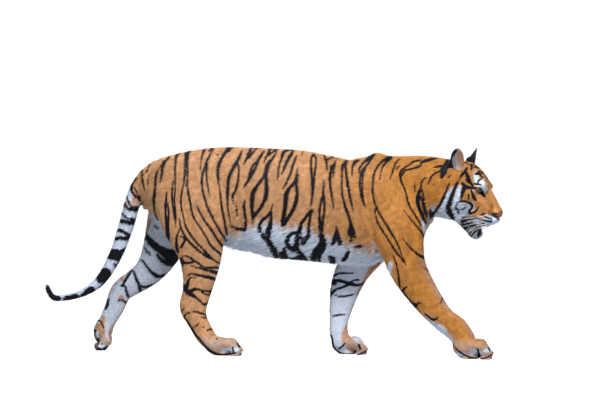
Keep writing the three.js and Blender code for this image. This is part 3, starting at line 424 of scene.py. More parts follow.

# Painted shade among these marks: the band along the belly's lower edge (from 281, 252 to 306, 259,
# from 240, 249 to 256, 254 and from 284, 247 to 287.5, 258) and the shadow line under the near
# forepaw (from 453, 345 to 493, 353.5).
# Partly painted shade and partly dark hair: the line in the fold between thigh and belly (from 231,
# 227 to 245, 230) and the line along the near hind paw's heel and sole (from 184, 317 to 236, 353).
SIDE_MARKS = """
142,171,1 142.3,176,1.5 142.8,183 144.7,191,.5 | 150,165,.8 147.5,170 145.5,174,.4 | 148.5,175,.5
147.8,181,1 147.6,187,.5 | 157.8,170,.6 156,176,1.6 155.2,184,1.8 154.5,193,2.6 154,201,2.4
154.8,209,1.6 156.8,217,1.2 159.5,224,.8 162,229,.4 | 169,157.5,1.4 165,162.5 162.5,168,1.8
161.2,175 159.8,183,.6 | 159,169,.5 162,164,.8 163.5,161.5,1 | 179,153.5,1.4 175.8,157.5,2.2
174.8,165,1.8 174.5,175,1.5 175,184,1.3 175,191,1 174.4,199 175,208,1.4 175.5,216,1.8 175.6,224,1
175.6,228,.4 | 172.6,181,.6 171.8,189,1.3 172,198,1.6 172.6,206,1 174,214,1.2 175.2,221,.8 |
166.6,192,.6 166.2,199,1.4 165.6,207,1.6 165.8,215 166.6,223,2 167.3,231,2.2 168.3,239,1.4 |
167.8,203,.6 168.6,211,1.4 168.6,219,1.6 168.6,227 169.2,235 169.6,241,.8 | 185.5,152.5,1.6
184.8,158 184,167,1.3 183.7,177 183,186,1 181.3,194,1.2 180.8,203,1.4 182,212,1.3 184,219.5,1
185.8,227,1.4 189,233,1.8 193.5,239 198.5,245 204,250.5 208.5,255.5 213,260,1.6 218,263,1.4
221,264,1 | 179.3,219,.7 180.3,226,1.2 182.5,232,1.6 186,238,1.8 190.5,243.5,2 195.5,248.5
200.5,252.5,1.8 206,256.5 210,259,1.2 | 190.5,150,1.2 188,154,1.8 187,160 187,168 187,177,1.6
186.8,185,1.4 188,193,1.8 189.5,200,2 191,208,1.8 192.5,215,1.6 195,220,1.4 198,225,1.6 201,229.5
204.5,235 207.5,240.5,1.8 210,245 213.5,249,2 217,251.5 220.5,255,1.8 223,258.5,1 | 196.3,205.5,.6
198,209.5,1.6 201,215.5 204.5,221.5 208.5,227,2 212,232,2.2 215.5,237.5,2 219,242.5 222.5,247
225,250,1.4 | 205.5,148,2.6 203,152,2.2 201.2,158,1.6 200.2,165,1 199.8,172,.5 | 214.5,146.5,1
212.5,150,1.2 209.3,155.5,1.6 206.4,161.5,2 203.6,169,1.6 201.8,176,2 201.3,183 202.3,191,1.8
204.4,199 206.8,207 210,214 213.5,221 217.5,228 221.5,234.5,1.6 225.6,240.5,1 | 207,164,1.2
206,172,1.6 206.3,180,1.4 207.8,189,1.2 209.8,199,.5 | 208.3,151.5,1 211,148.5,.8 | 217.3,155,1.6
| 229.5,146.5,2.2 226.5,150.5,3.2 223.5,155,2.6 220.2,160.5,3.2 218.2,166 217.2,173,2.8
217.8,180,1.8 219,188,1 219.8,196,1.6 220.7,204,1.8 222,212,2 223.7,220 225.1,228,1.8
226.6,235,1.2 | 226.6,202,.8 227.8,210,.9 229.3,218,.7 | 241.5,151,1.2 239,157,2.6 235,164,3
231,171.5 228.5,178,3.2 227.3,186,3 227,195,2.6 227,203,1.8 227.5,210,1.2 229,218,1 230,225,.5 |
229,152,.8 231.5,148.5 236,146.3 | 236.8,160,1.2 238.2,168,1.6 238.2,175,1.8 237.2,183 235.2,190,2
232.6,195,2.2 232.3,200,1.4 233.2,204,.7 | 235.8,204,.8 236.2,210,1.6 236.5,216,.8 | 231.5,213,1.2
| 233.3,219,1 | 238.3,221,1.2 | 244.6,200.5,.8 243.6,206,2.4 244.4,213 245.6,221,2.2 245.3,229,2.4
| 231,227,1.4 238,229,2.2 245,230 | 258,147.3,1.2 252,147.8,1.6 249,152,2.4 247,157 245,161,1.8
243,165,.6 | 262,147.5,1.2 256,149 252.5,153,1.6 249.5,157,1.4 247,158.5,1 | 264,151,.8
261,155,2.2 258,160,2.6 256.3,165,2 254,170.5,2.4 250.5,176,3 247.5,181,2.6 245,185,1.6
242.8,187.5,.6 | 256,162,1.2 252.2,165.5,1.8 250.2,170,2 248.8,175 247.5,180,1.4 | 271.5,159,1.2
267,163.5,1.6 264.8,169,1.8 263.8,175,2.2 261,180 257.5,185,2.6 254,190,4 252,196,4.4 251.4,203,4
251.6,210,3.2 252.2,216,2.6 251.8,223,.8 | 276.5,152,1 273,157.5,1.8 269.5,163 267.3,169
266.2,175,2.2 266,182,3.2 266,190,4 265.3,197 263,203,3.2 260,208,2.8 257,212,2.6 254,216.5,2.2
252.5,219,1.2 | 275,148.3,1.2 270,149.5,1.8 267.5,154 265,158.5,1.6 263.2,163.5,.7 | 281,148.5,1.2
276,150,1.4 271.5,153,1.2 268,156,1 | 292,149.8,1 286,151,2 282.8,153.5,3 281.3,158,2.4
279.3,163,1.6 278,169,1.8 277.7,175,1.4 276.8,181,.6 | 293,151,1.2 291,154,2.8 288,159,3
285.6,164,2.6 283.4,169,1.8 281,175.5,.6 | 296.4,155,.8 294,161,2 292,167,2.2 290,173 287.6,179,2
284.8,185,1.6 282,189,.7 | 297,168,.8 296,175,1.8 295,180,2.4 | 295,180,2.2 292,184.5
288.5,189,3.2 285.8,195,4.2 285,202,4.6 284.3,209,4.2 283,216,3.8 282.3,222,4.2 281.5,226,1.5 |
295.3,180,2 296,186,2.4 296.6,192,3 296.2,199,3.6 294.3,206,3.4 291.5,212 288,217.5,3
284.5,223,3.4 282,226,1.2 | 298.3,174,.6 297.3,182,.8 | 302,152,1.2 300.6,157,.6 | 313,154.3,1.2
310.8,158,1.8 310.3,165 310.8,172 311.2,180 311.8,189,2.2 311.6,197,2 310.6,204,1.2 310,208,.5 |
313,154.3,1.2 315.3,158,1.6 315.2,165 314.4,172,1.8 313.8,180 313,188 312.4,195,1.6 | 310,210,1.2
307,215,2.4 303.5,220,2.6 300,225,3 298.5,231,2.6 297,236,3 297,243,3.4 298,249,4 302,254,5
306,258,4 | 302,226,.8 300.3,230,1.2 301,235,1.4 302.5,240,1.8 303.3,243.5,1.2 | 312.5,209.5,1.2
310.3,215,1.8 309,221,2.2 308.3,228,2.6 308.2,234 306,239.5,2.4 303.5,243.5,1.4 | 294,232,1.4
290,235,2.6 287,240,3.2 289.5,245.5,3.4 294,248.5 296.5,243 296.5,236,2.4 294,232,1.4 |
272.8,204,.7 271.3,208,1.2 270.3,212,2.4 | 270.3,212,2.2 266.5,216.5,2.8 262,220.5,2.6
259.3,225,2.8 259.6,230 262.5,234.5,2.2 266,238.5,2.6 270,243.5,3 273.5,249,4 276.5,254,3.4
279,258,1.6 | 270.4,212,2.2 271,218,2.6 269.5,224,3.2 267.5,229,3 267.3,234,2.4 269.3,239
272,244,2.8 276,249,3 | 271.5,222,1.2 270.8,229,1.6 270,236,1.2 | 281,252,3 285,256,4.5 292,258,3
299,257,5 306,259,3 | 240,249,1 250,251,1.6 256,254,1 | 284,247,1.5 285.5,253,4 287.5,258,2.5 |
323.4,180,.6 323,187,1.6 322.6,194,2.4 | 322.3,196,1.6 320.3,202,1.8 319,210,2 318.8,218,2.2
319.2,226,2.6 320,233,3 322.5,239,5 321,245,5.5 316,250,5 313.5,255,4.5 314.5,260,3 |
323.2,195,1.8 323.9,203,2 323.8,211 322.8,219,2.2 321.7,227,2.4 321,234,2.6 | 324,240,3.4
324.5,246,3 321.5,251,3.2 319,256,3 321,260,1.5 | 330,255,2 333,258,5 333,262,4 | 335.5,226,.8
336.3,231,2.6 334.5,237,2.8 333,243.5,2.6 | 336.3,231,2.6 338,237,2.8 340.5,243.5,2.6 |
349,250.5,2 347,254,3.2 344,258.5,3 | 354.5,246.5,1.2 357,246,1.4 360,245.5,3 | 323.5,156,1
325.3,160,2.4 326.2,165,1.8 326.5,171,.7 | 333,157.3,1 329,158.5,1.2 326.5,161,1 | 336,159.5,1
334,163.5,1.4 331.5,167,2.4 330,173,2.2 329.3,180,2.6 329.9,188,2.2 331.2,196,2 332.3,203,1.6
333.2,209.5,.6 | 334.8,162,1.2 333.8,168,1.4 333.3,175,.9 333,178,.4 | 330,166,1.2 329.8,171 |
347,161,1.2 343.5,162.5,1.6 341.5,168,1.8 341.3,177,1.6 341.2,186 341.8,194,1.8 343.2,201,2.2
345.2,208,2.6 347.6,215 349.5,221 351.5,227,2.8 353.3,233 355,237.5,1.2 | 349.5,222,2
349.3,229,2.2 348.5,232,2.8 350,236,3 350.8,241.5,1.5 | 347,161,1.2 345.2,166,1.8 345.6,173,2
346.5,180,2.4 347.7,188 349.2,196,2.2 350.7,203,1.8 352.2,210,1 352.8,214,.4 | 358.5,160.8,1.4
354.5,162.5,3 352.2,167,1.8 351.6,172,1.4 351.5,178,.5 | 374,153.5,2.2 371,157,4 366.5,160.5,2.4
362.5,163.5,1.6 359.5,167.5,1.4 358,173,.7 | 371.5,158.5,2 368.5,163,1.6 365,168 362.8,174,1.4
362,181,1.5 361.9,188,1.4 362.6,196,1.2 363.8,203,1 366,209,.5 | 368,163.5,1 364,168,1.6 361,172.5
359.5,178 359.2,185 360,192 361.2,198,1.4 363,204,1 364,207,.5 | 388,154,3 390,157,3.4
385.5,159,2.2 381,162,1.8 377,167 374.5,171.5 373,178 372.4,186 372.4,194 373.4,200
375.6,206.5,1.6 379,213.5,1.8 382.5,219.5,2 386.5,226,2.2 390.5,232.5,2 394,238,1.6 397,243.5,1.4
399,248,1.2 400,250,.8 402,256,.7 405,262,.5 | 390,158,2.6 386.5,161.5,2 383,165.5,1.6 381,170,1.2
380.2,175,1 379.3,181,.5 | 374.3,210,1 375.2,216,1.2 377.5,222.5,1.4 381,229,1.6 385.5,236 390,243
394.5,250 399,256,1.4 403.5,262,1.2 406,265,.6 | 399,159.5,.7 395.5,162.5,1.4 394,166,1.6
392.6,171,1.2 391,176,.9 389.5,180,.4 | 400,165.5,.7 397,168,1 396.3,170,.5 | 436,159,.8
430,159.5,1.8 424,161,1.6 421,163,1.4 419,166.5,1.8 415,167.8,1.6 410,169.5,1.4 406,170
403.5,172,1.2 402,176,1 | 420,160.5,1 414,161.5,1.6 409,165,1.4 404,168,1.6 401,171,1.8
399.8,175.5,2 400.8,181,1.6 402.8,186,1.4 405,191 406.5,197,1.6 408,203 410.5,209,1.4 414,214
417,219 419.5,223,1 421,227,.5 | 420,163,1.6 425,161.8 431,160.5,1.2 | 403,210,.6 406,214,.9
410,219,1.2 414.5,224.5,1.4 419,229.5,1.6 422.5,234.5,1.4 424.5,240,1.2 | 402.5,239,.6
406,243.5,1.2 410.5,248.5,1.4 415,252.5,1.8 420,256,2.2 425.5,259,2.8 | 425.8,178,.8 422.5,180,1.2
421,184,1.6 420,189,2 418,194,2.8 417.2,200,3.4 418.3,206 420.3,212,3 423,218,2.6 425,223.5,1.6 |
421.5,190,1 423,196,1.4 423.8,202 424.5,208,1.8 425.8,214 426,218,1 | 420,196,.9 421.5,202,1.2
423,208 424.5,214,1.4 | 414.5,182,.5 414.2,187,1 414.7,192,.6 | 441,172,1 437.5,172.3,1.2
434,174,1.4 431,177,1.6 429,181,1.2 427.3,184.5,.7 | 433.8,185,1.4 | 430,207,1.5 430,212,3.4
430.5,217,2.4 | 441,203.5,1.4 437,208 433,213 | 180.5,228.5,.8 178.3,233,1.2 176.8,239,1.8
176.9,246,2 178.5,252,1.6 | 181.5,258,1.6 182.3,265 182.6,270,.8 | 180,236.5,.8 183.5,238,1.4
184.8,241,1.6 183,244.5,2 180.8,248,1.6 | 182.7,256,1.4 186,256,1.2 190,258,1.4 194,260.8,1.8
198,263.8 202,266.5,1.6 206,268,1.8 211,267.8,2 216,267.8,2.2 219.5,268.5 | 182.5,259,1.2
183.5,262.5,2.2 188,263.2,2 193,262.5,1.2 | 190.5,266.3,.8 196,267.5,1.2 201.5,269.3 207,271,1.4
212,272,2.6 216,273,3.4 218.5,273.5,3 | 188.5,275.5,1 191.5,274,1.4 196,275,1.8 202,276.5,2.6
208,277.5,3 213,279 217,280,2 | 195,278.5,1 191,278,1.2 188.8,280,1.6 187.5,284,2.4 187,288,3 |
184.8,285,1.8 185.5,289.5,3.6 188,293,4 192,295.5,3.6 196,298,2.2 200,301.5,1.8 203.5,304.8
207,303.5,1.6 209.5,301.5,1.4 | 190,292,3.2 193,290,3 196.5,289.3,2 201,290.3,1.4 206,291.3,1.2
210.5,291.5,2.2 214,288.5,1.2 | 200.5,291.5,1 203.5,293.8,1.2 208,295.2 212,293.5,2 | 193,312,1.4
198,312.6,1.6 202,314,1.8 207.5,315.8,1 | 201,317.5,.6 207,318.5,.8 | 181.5,311,1 184.5,308.7,.8 |
184.5,316,.8 187,314,1.2 190,313,1 | 193.5,328,.8 197,325.5,1 199,324,.8 | 202.5,327.5,.8
204.5,327 | 207,331,1 210,329.5,1.4 213,329.5,.9 | 217,334,.9 218,335.5 | 217,338.7,1.4 |
184,317,.8 188,322,1.2 192,329,1.6 196,335,1.8 201,341,1.5 206,346.5,1.4 210,350.6,1.8 216,353.6
222,354.4,1 230,354,.9 236,353,.8 | 233,347,1.2 233.5,352,1.4 | 237.5,343.5,1.2 239.5,347,1.6 |
393,256,.6 396,263,1 397.6,270,1.2 398.8,277 399.5,283,1.4 400.5,287,1 | 402.5,291,2.4 405,288.5,2
407,287,.8 | 404,293,1 408,298,1.2 411,302,1.6 | 410,302,1.6 414,304.5,2.4 416.5,306.5 | 416,305,2
418.5,303.5,1.2 421,303,.8 | 425,314,1 430,318,1.6 434,320,2.2 437,318.5,1.2 439,317,.6 |
443.5,295,.4 442.5,299,.6 440.3,304,.4 | 421,267,.4 428,271,.5 434,275 | 453,345,.5 458,350.4,.9
464,354.6,1.1 471,357.6,1.3 480,358.8,1 488,357,.7 493,353.5,.5 | 477.5,349,1.2 479,353,2
479.3,357,1.8 | 488.5,348,1 490,351,1.4 | 492,344.5,.8 494.5,349,1 | 137.5,178.5,.8 134,182.5,1.2
132,187,1.8 132,191.5 134.5,195.5 137.5,198,2 140,200 | 134.5,187,.7 136,191,1.2 138.3,195,1.6
140,198.5,2 | 127.8,191.5,1.2 125.5,196.5,1.6 124.7,201.5 125.7,206 128.5,208.8,2 132,210,2.4
136,210,2.6 139.5,207.5,2.2 | 127.7,197,.8 128.6,201,1.4 130,205 132.5,207.3 137,207.3,1.6
140.5,205,1.4 | 122.3,213.5,1.2 125,216.8,1.4 129,218.7 134,219.3,1.8 137.5,218,1.2 |
120.5,221,3.6 125,221.8,3.4 130,222.8,4 135,222,4.5 | 118,230.5,2.4 121.5,231,2.8 125,233,2.4
129,235,2.6 132,235.5,3 | 115.5,239,3 120,238.5 125,238.5,3.4 130,238,4.6 | 134,229,1.6
132.5,233,2.4 | 111.5,250.5,2.2 116,251,2.6 120,252,3 124,250 127.5,246.5,1.6 | 109.5,255.5,7
114,256,8 119,257,8.5 | 114,264,1.2 116.5,266,3 119.5,263,2.4 | 105.5,273,9.5 102,277 99.5,280.5,5
| 108.5,275,5 106,281,3 102.5,285,2.5 99,288,1.6 | 91,290.5,7.5 86,294,6.5 82,296.5,4 | 76,297,5.5
70,298.3 65.5,299,4.5 | 58,299,5 54,297,6 51,293,5.5 48.5,288.5 47.5,286.5,4
"""

# Marks where the neck runs into the head.
NAPE_MARKS = """
447,160,2.5 446,164.5,4.5 443.8,169.5,7 442.8,173.5,5.6 441.2,177.5,3 | 440,166.5,2.2
436,167.3,1.6 433,167.7,.6 | 449,183,1 446.5,190,1.6 444,196.5,2.2 441.3,202.5,2.4 437.8,207.8
434,212.5 431.5,216,2.2 | 449,163,2 448,167,2.4 | 448,178,.8 449.5,176,1.4
"""
# The mark from 492.2, 213.9 to 496.8, 216.9 is painted shade: the dark of the nostril's opening, on
# the hair beside the nose.
HEAD_MARKS = """
467,167.5,1.2 465.3,170.3,2.8 462.5,174,2.4 460,177.5 457.5,180.8,2.8 456,185,3 454,190
452.3,194,3.4 451,198,3.8 449.5,203,4.2 448.3,208.5,4.6 449.8,212.5,4.4 452,216,4 453.3,219.5,3
454,222,2 | 465.3,162.5,2.4 | 471.2,164.5,2 471,169,2.2 | 473.5,162,1.2 476,166,2.2 479,168,1.6 |
466.5,172.5,1.6 467.3,177,4.2 468.3,180.5,4.8 470.5,183,2.6 472.5,186,1.8 | 461.5,183,2
464.5,186.5,4.2 468,187.5,3 472,187.5,2.4 474.5,188.5,1.8 | 464,186,4.6 463.3,189.5,4.4
461.8,194,3 460.8,198.5,2 | 455.3,208,2 456,204.5,1.6 458.5,202 462,201.2,1.8 466,201.4
469.5,203,2.2 472,205.5,2.6 471.3,208.5,2 469,211,2.4 470,213.2,2.2 474,212,2 477,209.5,1.4
478.5,207,.8 | 455.5,207.5,1.4 457.5,210.5,1.8 458.3,214,1.6 | 460.5,209.5,1 463,209,1.2
465.5,206.8,.8 | 471,190,1.2 472.4,194.5,2.6 474.4,198.5,3 476,200,1.6 | 468.3,195,1.6
468.4,199.5,1.4 | 475.5,173.8,2.4 478,173.2,3.4 480.5,174.2,2 | 481.5,178.4,1.2 479,180,1.8
477.8,182.5,1.4 | 474,183.6,1.6 477.5,184.2,1.8 481,184.6,1 | 482,172,1.6 484.5,175.5 487,178.5 |
480.5,215.5,1 483.5,214,1.8 485,213.5,1 | 484.5,216.5,1.2 488,218 491.5,219,1 | 476,217,1.4
480,219.5,1.6 486,221 491.5,221.8,1.4 | 479,222,1.2 484,223.5,.9 | 487.5,224.2,.8 | 480,225,1.2
485.5,226,.9 | 462,217.8,1.8 466,217,1.5 470,217,1.4 475,216.4,1 | 463,221,2.4 468,220,1.8
473,219.2,1.4 479,218.4,.8 | 462,221,3 463,226,2.8 465,231,3 468,235,2.4 | 463,226,1.8
467,223.8,1.6 472,221.4,1 | 464.5,230,2 469,226.8,1.8 475,223.4,1.2 | 464,228,.8 468,225.2,.7
473,222.4,.5 | 465.5,232.4,1.8 470,228.9,1.6 476,225.2,1.2 | 467.5,234.6,2 472,231,1.8
477,227.4,1.2 | 470.5,236.6,1.8 474,233,1.6 478,229,1.2 | 480.5,229.5,3 479.8,233,4.6 478.6,236,3
| 492.2,213.9,1 494.4,215.2,2.6 496.8,216.9,3.2 | 480.5,191.8,2 482.4,194,3.4 484.2,196.2,2.4
"""

INNER_MARKS = """
330.2,278.5,1.6 334,275.8 339,274,1.4 345,273.4 350,273.6,1.2 354,273,.7 | 330.5,281,3 334,281,3.2
338,280.8,3 343,282 348,283.5,3.2 353,285,3 358,285.5,2.2 362,284,1.6 364.5,282.5,1.2 |
331,284.5,1.6 336,284.3,1.4 | 349,283,1.6 353,281,1.4 357,280 359,281,1 | 330.5,296,2
332.5,293,2.4 336,289.8,2 340,288.3,1.8 345,286.8 349,285,1.6 | 335,295.5,1 339,296.7,1.6
344,296.7 349,295.8,1.4 354,294.5,1 | 332.5,316.7,1 337,315.5,1.6 341,315,1.4 345,314.6,.8 |
331.3,336,1.4 332.2,340,1.8 333.2,346,2 336.5,351,2.2 342,353.8,1.8 348,355.2,1.4 356,355,1.2
363,352.8,1 366,351,.6 | 339,349,1.2 343,346,1.4 345,343.5,1 | 359,345,1.6 360.5,349 | 145.8,234,2
148.5,239,4.5 153,244.5,6 158.5,249,7 165,253,9 172,256.5,12 178,259 | 157,255,1.5 160,259,2.6
165,262.5,4 172,264.5,4.5 179,263,4 | 154.5,226,1.2 158,228.5,1.4 | 145,248,.8 147.5,252,1.2
150,255,.8 | 142,260,1 144.5,264,1.4 148.5,269.5,1.8 153,274,2.6 158,276.5,2.8 162,276,2.2
167,273.5,1.2 173,269.5,.8 | 133.3,271.5,1.2 135,276.5,1.8 137,281.5,2 139,286,2.4 140,291,2 |
140,285.5,1.6 143,287.3 147,286.5,1.4 151,285,1.2 | 131.8,270.5,1.4 129,274.5,2 126,279,1.6
123.8,283,2 121.5,286,1.6 124,286.5,1.4 | 124.5,286,1.6 125.8,290 126.8,294,1.8 128.5,297.5,1.2 |
117.5,300.5,.8 121,300.5,1 125,302,1.6 127.5,305 | 108.5,300,1.4 107.5,305,2.2 106,309,1.4 |
94,322,.8 97,320.5,1 101,322.5 103.5,328 | 95,331,3 92.5,338,4 93.5,345,4.5 97.5,350,5 103,350.5,4
107,347.5,3 | 97.5,339,2 98,344,2.4 | 102,344,1.4
"""

# White and pale places: the belly's upper edge, then blobs and bands as above.
BELLY_LINE = [
    (228, 240), (242, 232), (250, 229), (255, 226), (262, 224), (270, 226), (276, 222),
    (280, 229), (290, 229), (300, 228), (305, 230), (312, 233), (318, 236), (325, 238),
    (332, 239), (340, 242), (350, 246), (360, 249), (368, 252), (374, 257), (378, 264),
    (384, 275),
]
PALE_MARKS = """
228,236,3 223,262,3.5 219,272,4 213,300,3 | 391,264,3 389,274,4 393,283,3 | 439,326,3 445,331 |
472,353,3 479,352 | 485,351,3 491,350 | 224,350,3 237,350,4 | 423,222,2 426,240 427,256 |
131,181,3 130,190,4 129,200,5 | 131,212,8 126,228 121,246 113,264
"""
# Orange and brown places on the inside of the legs.
BROWN_MARKS = """
378,262,10 373,271,9 365,284,6 358,295,3 | 348,326,3 346,337,8 352,346,10 363,349,7 | 121,298,4 |
122,280,3 | 148,222,6 145,232,4 | 99,327,7 | 103,318,3 102,335,5 105,342
"""
FACE_PALE = """
459,187,3 457.8,193,5 456.4,199,5.6 454.6,206,6 | 452,188,2 449.5,194,5 446.5,201,8 442,209,11
437,215,10 | 460,207,9 467,209,7 | 472,207,3 | 475.5,173,3 476,178,5 478,183,6 480.5,184,5 |
482,182,4 483.5,187,3.5 484.5,191,3 | 473.5,190,1.5 | 476,222,5 483,223,7 489,222.5,8 494,221.5,6
| 493,215.5,2.6 495.3,220.5,3 | 455,215,11 463,214,7 | 469,212.5,2.5 474,211,2 | 463,217,3
470,219,5 476,222 | 455,226,10 466,230,9 474,229,6 | 450,220,9 | 450.5,170,2.5 449.5,174,3
"""
# Bars across the forehead and lines on the brows and nose: forward, sideways and width
# in millimetres, drawn for one side.
CROWN_MARKS = """
-24,2,4 -25,10,7 -31,22,8 -42,34,5 | -50,0,4 -52,12,9 -59,27,10 -72,42,5 | -78,3,4 -80,15,9
-88,31,10 -102,46,5 | -106,0,5 -110,15,9 -118,33,8 -128,44,4 | -8,4,2 2,8,3 14,11,2 | 16,20,2
2,29,5 -10,38,6 -22,44,4 | 28,26,2 20,33,3 8,43,4
"""


def to_chart(p):
    """Where points of the animal's right side are on the side chart."""
    k = SIGHT / (SIGHT + p[:, 1]) / STEP
    x, y = (p[:, 0] - CHART_AT[0]) * k, -(p[:, 2] - CHART_AT[1]) * k
    c, s = math.cos(CHART_ROLL), math.sin(CHART_ROLL)
    return np.stack([CHART_MIDDLE[0] + c * x - s * y, CHART_MIDDLE[1] + s * x + c * y], 1)


def drawn(text):
    """The marks of a text: an array of across, down and width for each."""
    marks = []
    for mark in text.split("|"):
        points = []
        for point in mark.split():
            numbers = [float(number) for number in point.split(",")]
            points.append(numbers if len(numbers) == 3 else numbers + points[-1][2:])
        marks.append(np.array(points))
    return marks


def mark_table(marks, reach=MARK_REACH / STEP):
    """Signed distance to the nearest mark at each cell of a chart, negative inside."""
    table = np.full((CHART_SIZE[1] * CELLS, CHART_SIZE[0] * CELLS), reach, np.float32)
    for mark in marks:
        line = smooth_rings(mark, 3) if len(mark) > 2 else mark
        for a, b in zip(line[:-1], line[1:]) if len(line) > 1 else [(line[0], line[0])]:
            pad = reach + max(a[2], b[2]) / 2
            low = np.maximum(((np.minimum(a[:2], b[:2]) - pad) * CELLS).astype(int), 0)
            high = ((np.maximum(a[:2], b[:2]) + pad) * CELLS).astype(int) + 1
            part = table[low[1]:high[1], low[0]:high[0]]
            if not part.size:
                continue
            y = (np.arange(part.shape[0]) + low[1] + 0.5)[:, None] / CELLS - a[1]
            x = (np.arange(part.shape[1]) + low[0] + 0.5)[None, :] / CELLS - a[0]
            dx, dy = b[0] - a[0], b[1] - a[1]
            t = np.clip((x * dx + y * dy) / max(dx * dx + dy * dy, 1e-9), 0, 1)
            width = a[2] + (b[2] - a[2]) * t
            d = np.hypot(x - t * dx, y - t * dy) - np.maximum(width, 0.3) / 2
            np.minimum(part, d, out=part)
    return table


def look_up(table, places):
    """The table's values at places of the chart, with bilinear steps between cells."""
    u = np.clip(places[:, 0] * CELLS - 0.5, 0, table.shape[1] - 1.001)
    v = np.clip(places[:, 1] * CELLS - 0.5, 0, table.shape[0] - 1.001)
    i, j = u.astype(int), v.astype(int)
    fu, fv = u - i, v - j
    top = table[j, i] * (1 - fu) + table[j, i + 1] * fu
    low = table[j + 1, i] * (1 - fu) + table[j + 1, i + 1] * fu
    return top * (1 - fv) + low * fv

# ------------------------------------------------------------------ fields over the body

EYE_OPENING = {"outer": 17.0, "inner": 21.0, "upper": 9.2, "lower": 8.2}
LID = 3.2
NOSE_TIP = [128, -84, 0]
# Edges of the left ear on the side chart, with the ear on the left of each.
FAR_EAR_EDGES = (
    ((477.0, 146.6), (470.6, 156.2)), ((470.6, 156.2), (462.5, 160.2)),
    ((475.4, 161.0), (477.6, 146.8)),
)
MOUTH_LINE = [
    (131, -119), (122, -134), (106, -147), (88, -158), (45, -168), (14, -168), (-6, -163),
]
# Folds of the skin, drawn on the side chart like the marks.
FOLDS = """
364,190,1 367.5,206,2 369,215 371,225 373,232,2.4 375,241,3 377.5,250 380,259,2 | 236,190,1
238,205,2 241,220,2.4 243,232,2 241,243,1 | 405,262,1 410,250,2 413,236 412,222,1
"""


def eye_frame(side):
    """Middle of an eye in the head's frame, then its axes: gaze, towards the inner corner, up."""
    middle = EYE_AT * [1, 1, side]
    gaze = unit([0.66, 0.03, 0.75 * side])
    inner = np.array([51.0, -12, -26 * side])
    inner = unit(inner - gaze * (inner @ gaze))
    return middle, gaze, inner, np.cross(gaze, inner) * side * -1


def eye_opening(q, side):
    """Distance to the almond between the lids, and how far forward of the eye's middle."""
    middle, gaze, inner, up = eye_frame(side)
    d = q - middle
    x, y, z = d @ inner, d @ up, d @ gaze
    length = np.where(x > 0, EYE_OPENING["inner"], EYE_OPENING["outer"])
    height = np.where(y > 0, EYE_OPENING["upper"], EYE_OPENING["lower"])
    edge = height * np.maximum(1 - (np.abs(x) / length) ** 1.7, 0)
    beyond = np.maximum(np.abs(x) - length, 0)
    return np.hypot(np.maximum(np.abs(y) - edge, 0), beyond) + np.minimum(np.abs(y) - edge, 0), z


def line_distance(p, points):
    best = np.full(len(p), 1e9)
    for a, b in zip(points[:-1], points[1:]):
        a, axis = np.array(a, float), np.subtract(b, a).astype(float)
        t = np.clip((p - a) @ axis / (axis @ axis), 0, 1)
        best = np.minimum(best, norms(p - a - t[:, None] * axis))
    return best


def nostril_distance(q):
    front = line_distance(folded(q), [[136, -86, 9], [133, -87, 17], [127, -85, 26]]) / 5.4
    side = line_distance(folded(q), [[127, -86, 27], [118, -83, 32], [108, -79, 34]]) / 4.6
    return np.minimum(front, side)


def nose_bare(q):
    """How far inside the bare shield of the nose: wide above, narrow towards the lip."""
    s = np.abs(q[:, 2])
    wide = np.interp(q[:, 1], [-114, -106, -101, -96, -91, -64, -56, -50, -44],
                     [0, 3, 14, 30, 41, 42, 32, 20, 12])
    return np.minimum.reduce([wide - s, -52 - 0.016 * s**2 - q[:, 1], q[:, 0] - 99])


def face_detail(q, d):
    """The head's own distance with brows, lids, nostrils, lips and folds added."""
    both = folded(q)
    # The left ear is turned back, so that its edges run together in a point.
    ear = norms(ear_places(q, 1)) < 1.6
    if ear.any():
        chart = to_chart(from_head(q[ear]))
        cuts = []
        for (ax, ay), (bx, by) in FAR_EAR_EDGES:
            way = np.array([bx - ax, by - ay]) / math.hypot(bx - ax, by - ay)
            cuts.append((way[0] * (chart[:, 1] - ay) - way[1] * (chart[:, 0] - ax)) * STEP)
        d[ear] = np.maximum.reduce([d[ear], np.minimum(cuts[0], cuts[1]), cuts[2]])
    d = blend(d, bar(both, [-32, 20, 57], [0, 22, 46], 5, 4), 20)
    d = blend(d, bar(both, [-34, -30, 66], [30, -42, 42], 7, 8), 16)
    for side in (-1, 1):
        middle = eye_frame(side)[0]
        ball = norms(q - middle)
        d = blend(d, ball - EYE_RADIUS - LID, 9)
        opening, ahead = eye_opening(q, side)
        hole = np.maximum(np.maximum(opening, 3 - ahead), EYE_RADIUS - 3 - ball)
        d = -blend(-d, hole, 1.2)
        rim = np.exp(-(((opening - 7.5) / 2.2) ** 2)) * ramp(-4, 8, ahead)
        d = d + 1.1 * rim  # the fold round the lids
    # The muzzle falls away beside the nose, so that the nostrils open to the side.
    d = -blend(-d, oval_distance(both - [121, -79, 56], [30, 17, 24]), 9)
    d = d + 6.5 * np.exp(-(nostril_distance(q) ** 4))
    lips = line_distance(q[:, :2], MOUTH_LINE)
    d = d + 5.0 * np.exp(-((lips / 3.2) ** 2)) - 1.6 * np.exp(-(((lips - 8) / 4.0) ** 2))
    # Grooves: their depth, half width and line. The last three are the rows of whisker roots.
    for depth, half, line in (
        (2.2, 4.5, [[14, -13, 45], [28, -23, 40], [38, -36, 34]]),
        (3.0, 3.0, [[141, -84, 0], [136, -104, 0], [130, -120, 0]]),
        *((0.8, 2.6, [[116 - 4 * n, -104 - 10 * n, 30], [92 - 4 * n, -108 - 10 * n, 50],
                      [70, -112 - 10 * n, 58]]) for n in range(3)),
    ):
        d = d + depth * np.exp(-((line_distance(both, line) / half) ** 2))
    return d


def paw_detail(p, name, d):
    """The grooves between the toes, over the top of the paw and down its front."""
    q = to_paw(p, name)
    spread = PAWS[name][2]
    for between in (-1, 0, 1):
        y = between * spread
        line = [[10, y * 0.9, 92], [40, y, 84], [72, y, 60], [88, y, 30], [86, y, 6]]
        d = d + 5.0 * np.exp(-((line_distance(q, line) / 7.0) ** 2))
    return d


